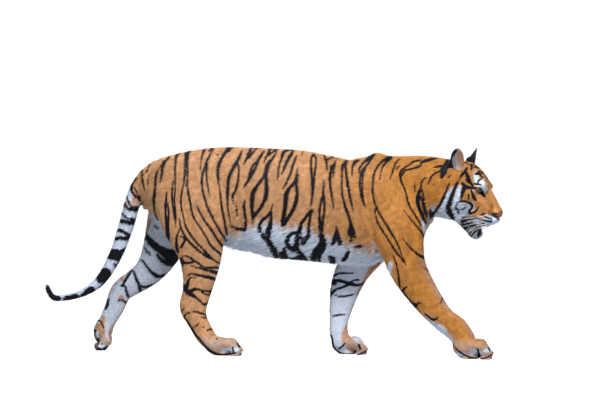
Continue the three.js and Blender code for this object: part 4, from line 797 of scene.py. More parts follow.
def detailed_distance(p):
    """Distance to the coat's tips with the face's, the toes' and the folds' detail."""
    d = tiger_distance(p)
    body = (p[:, 2] > 380) & (p[:, 0] < 620)
    if body.any():
        near = p[body].copy()
        middle = trunk_middle(near[:, 0])
        near[:, 1] = middle - np.abs(near[:, 1] - middle)
        fold = look_up(chart_tables()["folds"], to_chart(near)) * STEP
        d[body] += 5.5 * np.exp(-((np.maximum(fold, 0) / 13.0) ** 2))
    q = to_head(p)
    face = (np.abs(q) < [175, 250, 130]).all(1)
    d[face] = face_detail(q[face], d[face])
    for name in PAWS:
        near = norms(p - PAWS[name][0]) < 140
        d[near] = paw_detail(p[near], name, d[near])
    return d


def part_distances(p):
    """Distance to each named length of the body."""
    out = {"trunk": torso_distance(p), "head": head_distance(p), "tail": TAIL_LIMB.distance(p)}
    for name in LEGS:
        out[name] = LEG_LIMBS[name].distance(p)
        out[name + "_paw"] = paw_distance(p, name)
    return out


SHARE_EDGE = 16.0  # how softly one length of the body gives way to the next, in millimetres


def part_shares(distances):
    """How much each length of the body has to say at each point; the shares sum to 1."""
    least = np.minimum.reduce(list(distances.values()))
    shares = {n: np.exp(-np.minimum((d - least) / SHARE_EDGE, 30)) for n, d in distances.items()}
    total = sum(shares.values())
    return {n: s / total for n, s in shares.items()}


def trunk_middle(x):
    rings = TRUNK_LIMB.rings
    return np.interp(x, rings[:, 0], rings[:, 1])


def body_fields(p, normals):
    """Everything that the skin and the coat read at points of the surface."""
    distances = part_distances(p)
    shares = part_shares(distances)
    q = to_head(p)
    head = ramp(20, -12, distances["head"] - distances["trunk"])
    head = np.where(p[:, 0] > 560, head, 0)
    middle = trunk_middle(p[:, 0])
    side = (p[:, 1] - middle) * (1 - head) + q[:, 2] * head
    side = np.where(shares["tail"] > 0.5, 0, side)
    far = side > 0

    # The left side is the right one mirrored, with its stripes shifted a little.
    mirrored = p.copy()
    mirrored[:, 1] = 2 * middle - p[:, 1]
    mirrored = mirrored * (1 - head)[:, None] + from_head(q * [1, 1, -1]) * head[:, None]
    seen = np.where(far[:, None], mirrored, p)
    chart = to_chart(seen)
    away = ramp(20, 110, side) * (1 - head)
    chart[:, 0] += away * (6 * np.sin(chart[:, 1] / 17 + 1) + 4 * np.sin(chart[:, 0] / 29))
    chart[:, 1] += away * 4 * np.sin(chart[:, 0] / 13 + 2)

    # Legs: the left ones take the right ones' outer charts, and the other way inside.
    inner = np.zeros(len(p), bool)
    inward = np.zeros(len(p))
    low = ramp(760, 560, p[:, 2])
    for end in ("fore", "hind"):
        right, left = LEG_LIMBS[end + "_right"], LEG_LIMBS[end + "_left"]
        for name, own, other, sign in ((end + "_right", right, left, -1),
                                       (end + "_left", left, right, 1)):
            limb_d = np.minimum(distances[name], distances[name + "_paw"])
            others = np.minimum(distances["trunk"], distances["tail"])
            share = low * ramp(26, -6, limb_d - others)
            near = np.nonzero(share > 0.01)[0]
            if not len(near):
                continue
            place = own.place(p[near])
            within_leg = place[:, 1] * sign
            moved = other.point(place * [len(other.links) / len(own.links), -1, 1])
            paw_share = ramp(12, -12, distances[name + "_paw"][near] - distances[name][near])
            twin = end + ("_left" if sign < 0 else "_right")
            foot = from_paw(to_paw(p[near], name) * [1, -1, 1], twin)
            moved = moved * (1 - paw_share)[:, None] + foot * paw_share[:, None]
            wave = 0.05 * np.sin(p[near, 2] / 19) + 0.04 * np.sin(p[near, 0] / 11 + p[near, 2] / 33)
            inside = within_leg < -0.12 + wave
            s = share[near][:, None]
            if sign > 0:
                outer = near[~inside]
                w = s[~inside]
                chart[outer] = chart[outer] * (1 - w) + to_chart(moved[~inside]) * w
                inside &= share[near] > 0.3
                chart[near[inside]] = to_chart(p[near[inside]])
            else:
                inside &= share[near] > 0.5
                chart[near[inside]] = to_chart(moved[inside])
            inner[near[inside]] = True
            inward[near] = wave - 0.12 - within_leg

    gaze_off = np.abs(normals @ AXES[2])
    return {
        "distances": distances, "shares": shares, "q": q, "head": head, "side": side,
        "chart": chart, "inner": inner, "inward": inward, "gaze_off": gaze_off,
        "normals": normals, "p": p,
    }


def ear_out(number):
    """The way an ear's cup faces, square to its tip, in the head's frame."""
    return ear_frame(*EARS[number])[1][2]


def ear_places(q, number):
    middle, axes = ear_frame(*EARS[number])
    return (q - middle) @ axes.T / EAR


def markings(f, tables):
    """Distance to the nearest stripe or other dark mark in millimetres, some of them painted shade,
    and how pale, partly a painted highlight, and how deep the coat is.
    """
    chart, head, q, p, n = f["chart"], f["head"], f["q"], f["p"], f["normals"]
    on_trunk = look_up(tables["side"], chart) * STEP
    on_head = look_up(tables["head"], chart) * STEP
    within_leg = look_up(tables["inner"], chart) * STEP
    on_head = on_head + 30 * np.maximum(0.3 - f["gaze_off"], 0)
    mark = np.where(f["inner"], within_leg, on_trunk + 14 * ramp(0.75, 1, head))
    mark = np.minimum(mark, on_head + 0.7 + 14 * (1 - ramp(0.1, 0.4, head)))
    # Marks of the belly are broader than they look from the side.
    trunk = f["shares"]["trunk"]
    mark = mark - 1.6 * ramp(222, 240, chart[:, 1]) * (trunk > 0.6) * (chart[:, 0] < 392)

    crown = np.full(len(p), MARK_REACH)
    top = (head > 0.3) & (q[:, 1] > -5) & (np.abs(q[:, 2]) < 62)
    if top.any():
        flat = np.stack([q[top, 0], np.abs(q[top, 2])], 1)
        best = np.full(top.sum(), MARK_REACH)
        for line in tables["crown"]:
            for a, b in zip(line[:-1], line[1:]):
                axis = b[:2] - a[:2]
                t = np.clip((flat - a[:2]) @ axis / (axis @ axis), 0, 1)
                d = norms(flat - a[:2] - t[:, None] * axis)
                best = np.minimum(best, d - (a[2] + (b[2] - a[2]) * t) / 2)
        crown[top] = best
    mark = np.minimum(mark, crown)

    line = np.array(BELLY_LINE, float)
    edge = np.interp(chart[:, 0], line[:, 0], line[:, 1])
    ends = ramp(222, 232, chart[:, 0]) * ramp(392, 382, chart[:, 0])
    edge = edge + 2.5 * np.sin(chart[:, 0] * 0.8 + 1)
    edge = edge + 2 * np.sin(chart[:, 0] * 2.1 + chart[:, 1] * 0.6)
    pale = ramp(-6, 6, chart[:, 1] - edge) * ends * ramp(0.1, 0.5, trunk) * (1 - head)
    under = ramp(-0.35, -0.8, n[:, 2]) * ramp(660, 600, p[:, 2]) * (1 - head)
    bands = 1 - ramp(-3, 9, look_up(tables["pale"], chart) * STEP)
    face = (1 - ramp(-4, 6, look_up(tables["face_pale"], chart) * STEP)) * ramp(0.3, 0.7, head)
    face *= ramp(0.1, 0.35, f["gaze_off"])
    throat = ramp(-0.25, -0.7, n[:, 2]) * ramp(560, 640, p[:, 0]) * ramp(70, 40, q[:, 0] * head)
    chin = 0.75 * ramp(-160, -178, q[:, 1]) * ramp(-40, 20, q[:, 0]) * head
    muzzle = ramp(-86, -98, q[:, 1]) * ramp(70, 90, q[:, 0]) * head
    tail = f["shares"]["tail"] * ramp(735, 650, p[:, 2])
    pale = np.maximum.reduce([pale, under * trunk, bands * (1 - head), face, throat, chin, muzzle,
                              tail])
    pale = np.where(f["inner"], np.maximum(pale, 0.92 * ramp(0, 0.5, 1 - trunk)), pale)
    brown = 1 - ramp(-4, 10, look_up(tables["brown"], chart) * STEP)
    toe_fronts = ramp(0.5, 0.9, n[:, 0]) * ramp(160, 110, p[:, 2])
    inside = pale * (1 - brown) * ramp(0, 0.26, f["inward"]) * (1 - 0.8 * toe_fronts)
    pale = np.where(f["inner"], inside, pale)

    # Painted shade: a grey over the pale hair inside the hind legs, partly the hair's own grey, and
    # over the pale hair of the tail. Grey hair on the chin.
    hind = f["inner"] & (p[:, 0] < 0) & (p[:, 2] > 60)
    mark = np.where(hind, np.minimum(mark, np.where(p[:, 2] < 330, 2.0, 2.12)), mark)
    mark = np.where(tail > 0.4, np.minimum(mark, 2.3), mark)
    mark = np.where((chin > 0.5) & (head > 0.5), np.minimum(mark, 1.9), mark)
    mark = np.where((muzzle > 0.5) & (q[:, 0] < 122), np.minimum(mark, 2.1), mark)
    jowl = ramp(-118, -135, q[:, 1]) * ramp(-20, 0, q[:, 0]) * ramp(78, 62, q[:, 0])
    mark = np.where((jowl > 0.5) & (head > 0.5), np.minimum(mark, 1.95), mark)
    # The cheeks and the sides of the nose made a little darker, with some of the stripes' colour
    # mixed in.
    face_darkening = ramp(-10, 20, q[:, 0]) * ramp(6, -20, q[:, 1]) * ramp(8, 26, np.abs(q[:, 2]))
    face_darkening *= ramp(118, 96, q[:, 0]) * (head > 0.5) * (1 - pale)
    mark = np.minimum(mark, MARK_REACH - (MARK_REACH - 2.25) * face_darkening)
    # Painted highlight: paler fronts of the forelegs and tops of the paws, where light falls on
    # them.
    light = ramp(0.2, 0.8, n[:, 0]) * ramp(-100, 200, p[:, 0]) * ramp(560, 380, p[:, 2])
    light = np.maximum(0.16 * light, 0.24 * ramp(110, 60, p[:, 2]))
    pale = np.maximum(pale, light)

    for number in (0, 1):
        ear = ear_places(q, number)
        lobe = (norms(ear) < 1.25) & (head > 0.2) & (ear[:, 0] > -0.75)
        radius = np.hypot(ear[:, 0], ear[:, 1])
        back = n @ AXES.T @ ear_out(number) < -0.1
        spot = np.hypot((ear[:, 0] + 0.1) / 0.28, (ear[:, 1] - 0.3) / 0.4) < 1
        rearward = ear[:, 1] * (1 if number == 0 else -1)
        edge = radius > 0.84 - 0.1 * ramp(0.2, 0.6, ear[:, 0])
        spot &= (q[:, 2] < -60) if number == 0 else (n @ AXES[2] > 0.2)
        black = lobe & ((back & ~spot) | (~back & edge & (rearward > 0.1)))
        # Inside, grey hair behind and brown hair in front.
        front = ramp(0.15, -0.35, rearward)
        grey = 1.72 + 0.14 * np.sin(ear[:, 1] * 13) + 0.25 * front
        grey += 0.5 * ramp(-0.2, -0.8, ear[:, 0])
        if number:  # a thin brown edge in front, on the side towards the other ear
            back = back & (chart[:, 0] < 474.6)
            black &= chart[:, 0] < 474.6
        mark = np.where(black, -6.0, np.where(lobe & ~back, grey, np.where(lobe, MARK_REACH, mark)))
        pale = np.where(lobe & back & spot, 0.9, np.where(lobe & ~back, 0.62 - 0.5 * front, pale))
    for side in (-1, 1):
        opening, ahead = eye_opening(q, side)
        near = (norms(q - eye_frame(side)[0]) < 42) & (head > 0.4) & (ahead > 0)
        mark = np.where(near, np.minimum(mark, opening - 5.2), mark)
        tear = line_distance(q * [1, 1, side], [[12, -11, 48], [24, -18, 44], [33, -25, 40]])
        mark = np.where(head > 0.4, np.minimum(mark, tear - 5.0), mark)
    lips = line_distance(q[:, :2], MOUTH_LINE)
    mark = np.where((head > 0.4) & (q[:, 1] < -110), np.minimum(mark, lips - 1.0), mark)
    deep = ramp(-100, 560, p[:, 0]) * (1 - 0.35 * f["shares"]["head"])
    return np.clip(mark, -MARK_REACH, MARK_REACH), np.clip(pale, 0, 1), deep


def hair_ways(f):
    """The direction in which the coat lies at each point, along the surface."""
    p, q, n = f["p"], f["q"], f["normals"]
    shares = f["shares"]
    low = ramp(820, 560, p[:, 2])
    sides = np.abs(n[:, 1])
    front = ramp(330, 470, p[:, 0]) * ramp(640, 560, p[:, 0])
    rear = ramp(-380, -500, p[:, 0])
    neck = ramp(540, 640, p[:, 0])
    down = 0.12 + 0.35 * low * sides + 0.9 * front * low + 0.9 * rear * low + 0.6 * neck * sides
    way = np.stack([-np.ones(len(p)), np.zeros(len(p)), -down], 1) * shares["trunk"][:, None]
    back = unit(np.stack([q[:, 0] - 128, (q[:, 1] + 52) * 0.75, q[:, 2]], 1))
    for number in (0, 1):
        ear = ear_places(q, number)
        inside = ramp(1.5, 1.1, norms(ear))
        tip = unit(EARS[number][1])
        back = unit(back * (1 - inside)[:, None] + tip * inside[:, None])
    way += back @ AXES * shares["head"][:, None]
    tail = shares["tail"] > 0.02
    way[tail] += TAIL_LIMB.way(p[tail]) * shares["tail"][tail][:, None]
    for name in LEGS:
        on = shares[name] > 0.02
        if on.any():
            way[on] += (LEG_LIMBS[name].way(p[on]) + [-0.2, 0, 0]) * shares[name][on][:, None]
        on = shares[name + "_paw"] > 0.02
        if on.any():
            forward = from_paw(np.array([[1, 0, -0.3]]), name) - np.array(PAWS[name][0], float)
            way[on] += unit(forward) * shares[name + "_paw"][on][:, None]
    way -= n * (way * n).sum(1, keepdims=True)
    return unit(way)


def coat_depths(f):
    """How far the skin lies under the coat's tips."""
    p, q, shares, head = f["p"], f["q"], f["shares"], f["head"]
    trunk = 8 + 4 * ramp(560, 500, p[:, 2]) + 3 * ramp(560, 680, p[:, 0])
    leg = 3.5 + 4 * ramp(250, 480, p[:, 2])
    face = 2.2 + 6 * ramp(-30, -95, q[:, 0]) * ramp(30, -20, q[:, 1])
    face = face + 3 * ramp(-60, -120, q[:, 0])
    for number in (0, 1):
        lobe = ramp(1.5, 1.15, norms(ear_places(q, number)))
        face = face * (1 - lobe) + 1.8 * lobe
    tail = np.interp(p[:, 2], [250, 400, 700], [5.0, 5.0, 7.0])
    depth = trunk * shares["trunk"] + face * shares["head"] + tail * shares["tail"]
    for name in LEGS:
        depth = depth + leg * shares[name] + 3.0 * shares[name + "_paw"]
    nose = ramp(60, 30, norms(q - NOSE_TIP))
    depth = depth * (1 - nose) + 1.0 * nose
    # Under the bare nose and round the nostrils the skin keeps clear of the leather.
    bare, hole = nose_bare(q), ramp(1.7, 1.1, nostril_distance(q))
    under = np.maximum(ramp(-0.5, 3.5, bare), hole * ramp(-1.5, 0.5, bare))
    depth = depth + (5.0 * under + 4.0 * hole * (bare > -1)) * (head > 0.5)
    for side in (-1, 1):
        eye = ramp(34, 20, norms(q - eye_frame(side)[0]))
        depth = depth * (1 - eye) + 0.6 * eye
    return depth * (0.25 + 0.75 * ramp(0, 30, p[:, 2] - 6))

# ------------------------------------------------------------------ the skin

FLESH = [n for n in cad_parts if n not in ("eye_right", "eye_left")]
VOXEL = 0.0105
SOLE = -MOVED[2]  # the floor's height in the shape's frame
TABLES = {}


def chart_tables():
    """The charts' distance tables, worked out once."""
    if not TABLES:
        for name, marks in {
            "side": SIDE_MARKS + "|" + NAPE_MARKS, "head": HEAD_MARKS + "|" + NAPE_MARKS,
            "inner": INNER_MARKS, "pale": PALE_MARKS, "brown": BROWN_MARKS, "face_pale": FACE_PALE,
        }.items():
            TABLES[name] = mark_table(drawn(marks))
        TABLES["folds"] = mark_table(drawn(FOLDS), reach=6.0)
        TABLES["crown"] = [smooth_rings(m, 2) for m in drawn(CROWN_MARKS)]
    return TABLES


def values_of(data, what, wide=3, kind=np.float32):
    """A value of each item of a mesh's data, one row each."""
    out = np.empty(len(data) * wide, kind)
    data.foreach_get(what, out)
    return out.reshape(-1, wide)


def mesh_points(mesh):
    return values_of(mesh.vertices, "co").astype(float)


def mesh_normals(mesh):
    return values_of(mesh.vertex_normals, "vector").astype(float)


def to_shape(points):
    """Metres in the model's frame to millimetres in the shape's."""
    return points * 1000 - MOVED


def to_model(points):
    return (points + MOVED) / 1000


def rough_body():
    """One mesh through all the solids of the flesh, in even small squares."""
    bm = bmesh.new()
    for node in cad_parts.values():
        bm.from_mesh(node.data)
    bmesh.ops.remove_doubles(bm, verts=bm.verts, dist=1e-5)
    bmesh.ops.recalc_face_normals(bm, faces=bm.faces)
    bm.normal_update()
    for v in bm.verts:
        v.co += v.normal * 0.0006
    mesh = bpy.data.meshes.new("rough body")
    bm.to_mesh(mesh)
    bm.free()
    body = bpy.data.objects.new("rough body", mesh)
    bpy.context.scene.collection.objects.link(body)
    remesh = body.modifiers.new("Squares", "REMESH")
    remesh.mode = "VOXEL"
    remesh.voxel_size = VOXEL
    graph = bpy.context.evaluated_depsgraph_get()
    even = bpy.data.meshes.new_from_object(body.evaluated_get(graph))
    bpy.data.objects.remove(body)
    bpy.data.meshes.remove(mesh)
    return even


def halve(bm, chosen):
    """Halves the edges of the chosen faces, so that each becomes four."""
    faces = [f for f in bm.faces if chosen(f.calc_center_median())]
    edges = list({e for f in faces for e in f.edges})
    bmesh.ops.subdivide_edges(bm, edges=edges, cuts=1, use_grid_fill=True)


def settle(points, level, normals, rounds, reach):
    """Moves points along their normals until the detailed distance is the wanted level."""
    for _ in range(rounds):
        d = detailed_distance(points) - level
        ahead = detailed_distance(points + normals * 0.5) - level
        slope = np.clip((ahead - d) / 0.5, 0.35, 1.2)
        points = points - normals * np.clip(d / slope, -reach, reach)[:, None]
    return points


def largest_island(bm):
    """Drops everything but the largest connected part."""
    left, best = set(bm.verts), []
    while left:
        start = left.pop()
        island, edge = [start], [start]
        while edge:
            v = edge.pop()
            for e in v.link_edges:
                other = e.other_vert(v)
                if other in left:
                    left.discard(other)
                    island.append(other)
                    edge.append(other)
        if len(island) > len(best):
            best = island
    best = set(best)
    bmesh.ops.delete(bm, geom=[v for v in bm.verts if v not in best], context="VERTS")


def skin_mesh():
    mesh = rough_body()
    bm = bmesh.new()
    bm.from_mesh(mesh)
    bpy.data.meshes.remove(mesh)
    largest_island(bm)

    def in_head(co):
        return to_head(to_shape(np.array([co])))[0]

    def head(co):
        x, y, z = in_head(co)
        return abs(z) < 125 and -175 < x < 170 and -240 < y < 175

    def face(co):
        x, y, z = in_head(co)
        return x > 62 or (x > -38 and abs(z) < 90 and -60 < y < 50)

    def paw(co):
        return co.z < 0.1 or (co.z < 0.16 and co.x < -0.75)

    for chosen in (head, face, paw):
        halve(bm, chosen)
    bmesh.ops.smooth_vert(bm, verts=bm.verts, factor=0.5, use_axis_x=True, use_axis_y=True,
                          use_axis_z=True)
    mesh = bpy.data.meshes.new("skin")
    bm.to_mesh(mesh)
    bm.free()

    points = to_shape(mesh_points(mesh))
    fields = {"p": points, "q": to_head(points), "shares": part_shares(part_distances(points))}
    fields["head"] = fields["shares"]["head"]
    depth = coat_depths(fields)
    points = settle(points, -depth, mesh_normals(mesh), 2, 12)
    write_points(mesh, points)
    for _ in range(2):
        points = relax(mesh, points)
        write_points(mesh, points)
        points = settle(points, -depth, mesh_normals(mesh), 1, 6)
        write_points(mesh, points)
    points[:, 2] = np.maximum(points[:, 2], SOLE + 0.6)
    write_points(mesh, points)
    return mesh


def write_points(mesh, points):
    mesh.vertices.foreach_set("co", to_model(points).astype(np.float32).ravel())
    mesh.update()


def relax(mesh, points):
    """Each vertex moved half of the way to the middle of its neighbours, along the surface."""
    edges = values_of(mesh.edges, "vertices", 2, np.int32)
    total, count = np.zeros_like(points), np.zeros(len(points))
    for a, b in (edges.T, edges.T[::-1]):
        np.add.at(total, a, points[b])
        np.add.at(count, a, 1)
    move = total / np.maximum(count, 1)[:, None] - points
    normals = mesh_normals(mesh)
    move -= normals * (move * normals).sum(1, keepdims=True)
    return points + move / 2

# ------------------------------------------------------------------ materials


def node(tree, kind, inputs=None, **settings):
    """A new node with its settings, and each input a number, colour or another's output."""
    made = tree.nodes.new(kind)
    for key, value in settings.items():
        setattr(made, key, value)
    for key, value in (inputs or {}).items():
        if isinstance(value, bpy.types.NodeSocket):
            tree.links.new(value, made.inputs[key])
        else:
            made.inputs[key].default_value = value
    return made


def maths(tree, operation, *values):
    return node(tree, "ShaderNodeMath", dict(enumerate(values)), operation=operation).outputs[0]


def mixed(tree, factor, a, b, way="MIX"):
    return node(tree, "ShaderNodeMix", {"Factor": factor, 6: a, 7: b}, data_type="RGBA",
                blend_type=way).outputs[2]


def shaded(tree, colour, share):
    """The colour made darker or lighter by a share."""
    grey = node(tree, "ShaderNodeCombineColor", {0: share, 1: share, 2: share}).outputs[0]
    return mixed(tree, 1.0, colour, grey, "MULTIPLY")


def ranged(tree, value, low, high, first=0.0, last=1.0, smooth=False):
    return node(tree, "ShaderNodeMapRange", {"Value": value, "From Min": low, "From Max": high,
                                             "To Min": first, "To Max": last},
                interpolation_type="SMOOTHSTEP" if smooth else "LINEAR").outputs["Result"]


def noise(tree, place, scale, detail=2.0, rough=0.5):
    return node(tree, "ShaderNodeTexNoise", {"Vector": place, "Scale": scale, "Detail": detail,
                                             "Roughness": rough}).outputs["Fac"]


def group_tree(name, inputs, outputs):
    """A shader node group with named inputs (name, kind, default) and outputs (name, kind)."""
    tree = bpy.data.node_groups.new(name, "ShaderNodeTree")
    for label, kind, default in inputs:
        socket = tree.interface.new_socket(label, in_out="INPUT", socket_type="NodeSocket" + kind)
        socket.default_value = default
    for label, kind in outputs:
        tree.interface.new_socket(label, in_out="OUTPUT", socket_type="NodeSocket" + kind)
    return tree, tree.nodes.new("NodeGroupInput").outputs, tree.nodes.new("NodeGroupOutput").inputs


def placed(tree, name, **inputs):
    return node(tree, "ShaderNodeGroup", {k.capitalize(): v for k, v in inputs.items()},
                node_tree=bpy.data.node_groups[name]).outputs


def object_place(tree):
    return tree.nodes.new("ShaderNodeTexCoord").outputs["Object"]


def attribute(tree, name):
    return node(tree, "ShaderNodeAttribute", attribute_name=name).outputs["Fac"]


def linear(colour):
    """A screen colour of 0 to 255 as the linear colour that a shader reads."""
    share = [c / 255 for c in colour]
    return (*(c / 12.92 if c <= 0.04045 else ((c + 0.055) / 1.055) ** 2.4 for c in share), 1.0)


def markings_group(look):
    """Stripes, ground colour and pale parts of the coat, with the painted shade and highlight that
    they carry, the same on skin and hair.
    """
    tree, given, out = group_tree("Coat markings", [
        *((name.capitalize(), "Color", tuple(getattr(look, name)))
          for name in ("back", "shoulder", "pale", "stripe")),
        ("Edge", "Float", look.stripe_edge), ("Raggedness", "Float", look.raggedness),
        ("Swelling", "Float", look.swelling), ("Fleck", "Float", 0.0),
    ], [("Colour", "Color"), ("Dark", "Float")])
    place = object_place(tree)
    fine = noise(tree, place, 190, 3, 0.6)
    broad = noise(tree, place, 7, 3, 0.55)
    patchy = noise(tree, place, 38, 3, 0.6)
    shift = maths(tree, "MULTIPLY", maths(tree, "SUBTRACT", fine, 0.5), given["Raggedness"])
    away = maths(tree, "SUBTRACT", attribute(tree, "mark"), given["Swelling"])
    edge = given["Edge"]
    dark = ranged(tree, maths(tree, "ADD", away, shift), maths(tree, "MULTIPLY", edge, -1.0), edge,
                  1.0, 0.0, smooth=True)
    cloudy = maths(tree, "MULTIPLY", maths(tree, "SUBTRACT", broad, 0.5), 0.5)
    tone = ranged(tree, maths(tree, "ADD", attribute(tree, "deep"), cloudy), 0.0, 1.0)
    ground = mixed(tree, tone, given["Back"], given["Shoulder"])
    ground = shaded(tree, ground, ranged(tree, patchy, 0.32, 0.7, 0.73, 1.16))
    ground = mixed(tree, attribute(tree, "pale"), ground, given["Pale"])
    ground = shaded(tree, ground, ranged(tree, fine, 0.3, 0.7, 0.8, 1.14))
    ground = shaded(tree, ground, ranged(tree, given["Fleck"], -1.0, 1.0, 0.66, 1.28))
    tree.links.new(mixed(tree, dark, ground, given["Stripe"]), out["Colour"])
    tree.links.new(dark, out["Dark"])


def grain_group():
    """Fine bumps of short hair or skin, as a height."""
    tree, given, out = group_tree("Fine grain", [
        ("Scale", "Float", 300.0), ("Detail", "Float", 3.0), ("Stretch", "Vector", (1, 1, 1)),
    ], [("Height", "Float")])
    place = node(tree, "ShaderNodeVectorMath", {0: object_place(tree), 1: given["Stretch"]},
                 operation="MULTIPLY").outputs[0]
    tree.links.new(noise(tree, place, given["Scale"], given["Detail"], 0.6), out["Height"])


def new_material(name, **fixed):
    """A material with a Principled shader, whose constant values are set on its sockets."""
    material = bpy.data.materials.new(name)
    material.use_nodes = True
    tree = material.node_tree
    shader = next(n for n in tree.nodes if n.type == "BSDF_PRINCIPLED")
    for key, value in fixed.items():
        shader.inputs[key.replace("_", " ").title().replace("Ior", "IOR")].default_value = value
    return material, tree, shader


def painted(tree, shader, colour):
    tree.links.new(colour, shader.inputs["Base Color"])


def bumped(tree, shader, height, strength, distance):
    bump = node(tree, "ShaderNodeBump",
                {"Height": height, "Strength": strength, "Distance": distance})
    tree.links.new(bump.outputs["Normal"], shader.inputs["Normal"])


def fur_material(name, rough, sheen, bump, fleck):
    material, tree, shader = new_material(name, Roughness=rough, Sheen_Weight=sheen,
                                          Sheen_Roughness=0.45, Specular_Ior_Level=0.14)
    given = {"fleck": attribute(tree, "fleck")} if fleck else {}
    painted(tree, shader, placed(tree, "Coat markings", **given)["Colour"])
    if bump:
        grain = placed(tree, "Fine grain", scale=420.0, detail=4.0)
        bumped(tree, shader, grain["Height"], bump, 0.0015)
    return material


def eye_material(look):
    """Amber iris with fine rays, round pupil, dark rim and wet surface."""
    material, tree, shader = new_material("Eye", Roughness=0.3, Coat_Weight=0.12,
                                          Coat_Roughness=0.03, Specular_Ior_Level=0.1)
    out = attribute(tree, "gaze")
    spoke = node(tree, "ShaderNodeCombineXYZ", {"X": attribute(tree, "turn"),
                                                "Y": maths(tree, "MULTIPLY", out, 0.6)})
    rays = noise(tree, spoke.outputs[0], 16, 4, 0.65)
    iris = mixed(tree, ranged(tree, out, 12, 24, smooth=True), tuple(look.iris_inner),
                 tuple(look.iris_outer))
    iris = mixed(tree, ranged(tree, rays, 0.3, 0.75), mixed(tree, 0.45, iris, (0, 0, 0, 1)), iris)
    white = mixed(tree, ranged(tree, out, 40, 60), (0.16, 0.12, 0.10, 1), (0.42, 0.36, 0.32, 1))
    dark = mixed(tree, ranged(tree, out, 31, 36, smooth=True), iris, (0.006, 0.005, 0.005, 1))
    ball = mixed(tree, ranged(tree, out, 39, 43, smooth=True), dark, white)
    pupil = ranged(tree, out, look.pupil, look.pupil + 1.2, smooth=True)
    painted(tree, shader, mixed(tree, pupil, (0.001, 0.001, 0.001, 1), ball))
    return material


def skin_material(name, colour, dark, rough, scale, depth, coat=0.0):
    """Bare skin of the nose and pads: mottled, with fine pebbling, and near black by an attribute
    that holds the painted shade of the nostrils and the nose's darker rim.
    """
    material, tree, shader = new_material(name, Roughness=rough, Coat_Weight=coat,
                                          Coat_Roughness=0.3)
    place = object_place(tree)
    patches = noise(tree, place, scale * 0.12, 4, 0.6)
    patched = mixed(tree, ranged(tree, patches, 0.38, 0.68), tuple(colour), tuple(dark))
    # Near black where the nose's attribute says: painted shade in the nostrils and beside their
    # slits, and the nose's darker rim.
    painted(tree, shader, mixed(tree, attribute(tree, "nostril_shade_and_rim"), patched, (0.004, 0.003, 0.003, 1)))
    cells = node(tree, "ShaderNodeTexVoronoi", {"Vector": place, "Scale": scale}, feature="F1")
    height = maths(tree, "MULTIPLY", cells.outputs["Distance"], -1.0)
    fine = maths(tree, "MULTIPLY", noise(tree, place, scale * 2.2, 3), 0.4)
    height = maths(tree, "ADD", height, fine)
    bumped(tree, shader, height, 0.8, depth)
    return material


def streaked_material(name, scale, light, dark, bump, **fixed):
    """Claw horn or whisker: two tones in streaks."""
    material, tree, shader = new_material(name, **fixed)
    place = object_place(tree)
    painted(tree, shader, mixed(tree, noise(tree, place, scale, 4, 0.6), light, dark))
    if bump:
        bumped(tree, shader, noise(tree, place, 700, 2), bump, 0.0004)
    return material


def floor_material(colour):
    """A white floor that looks as bright as the air behind it, straight from the eye."""
    material, tree, shader = new_material("Pale floor", Roughness=0.9, Specular_Ior_Level=0.1,
                                          Emission_Color=(1.0, 1.0, 1.0, 1.0))
    cloud = noise(tree, object_place(tree), 0.7)
    darker = (*(c * 0.985 for c in colour[:3]), 1.0)
    painted(tree, shader, mixed(tree, cloud, tuple(colour), darker))
    direct = tree.nodes.new("ShaderNodeLightPath").outputs["Is Camera Ray"]
    glow = node(tree, "ShaderNodeEmission", {"Color": (1.0, 1.0, 1.0, 1.0),
                                             "Strength": maths(tree, "MULTIPLY", direct, 0.86)})
    both = node(tree, "ShaderNodeAddShader", {0: shader.outputs[0], 1: glow.outputs[0]})
    output = next(n for n in tree.nodes if n.type == "OUTPUT_MATERIAL")
    tree.links.new(both.outputs[0], output.inputs["Surface"])
    return material

# ------------------------------------------------------------------ making pieces


def new_piece(name, mesh, material, slot, *nodes):
    """Puts a finished mesh into the scene as a piece that rides on the model."""
    piece = bpy.data.objects.new(name, mesh)
    bpy.context.scene.collection.objects.link(piece)
    mesh.materials.clear()
    mesh.materials.append(material)
    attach(piece, "root")
    if nodes:
        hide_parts(*nodes)
    return piece


MARKS = ("mark", "pale", "deep")


def give_attributes(mesh, values):
    for name, data in values.items():
        attribute_of = mesh.attributes.new(name, "FLOAT", "POINT")
        attribute_of.data.foreach_set("value", np.asarray(data, np.float32))


def finished_mesh(bm, name):
    """The bmesh as a mesh with its doubles merged and its faces pointing outwards."""
    bmesh.ops.remove_doubles(bm, verts=bm.verts, dist=1e-6)
    bmesh.ops.recalc_face_normals(bm, faces=bm.faces)
    mesh = bpy.data.meshes.new(name)
    bm.to_mesh(mesh)
    bm.free()
    mesh.shade_smooth()
    return mesh


class Skin:
    """The finished skin's points, fields and triangles, kept for the coat to grow from."""

    def __init__(self, mesh):
        mesh.calc_loop_triangles()
        self.triangles = values_of(mesh.loop_triangles, "vertices", kind=np.int32)
        self.points, self.normals = to_shape(mesh_points(mesh)), mesh_normals(mesh)
        self.fields = body_fields(self.points, self.normals)
        self.ways, self.depths = hair_ways(self.fields), coat_depths(self.fields)
        self.marks = markings(self.fields, chart_tables())
        self.sizes = hair_sizes(self.fields)
        self.long_sizes, self.long_amount = long_sizes(self.fields)
        self.bald = bald_places(self)
        self.middles = self.points[self.triangles].mean(1)


KEPT = {}


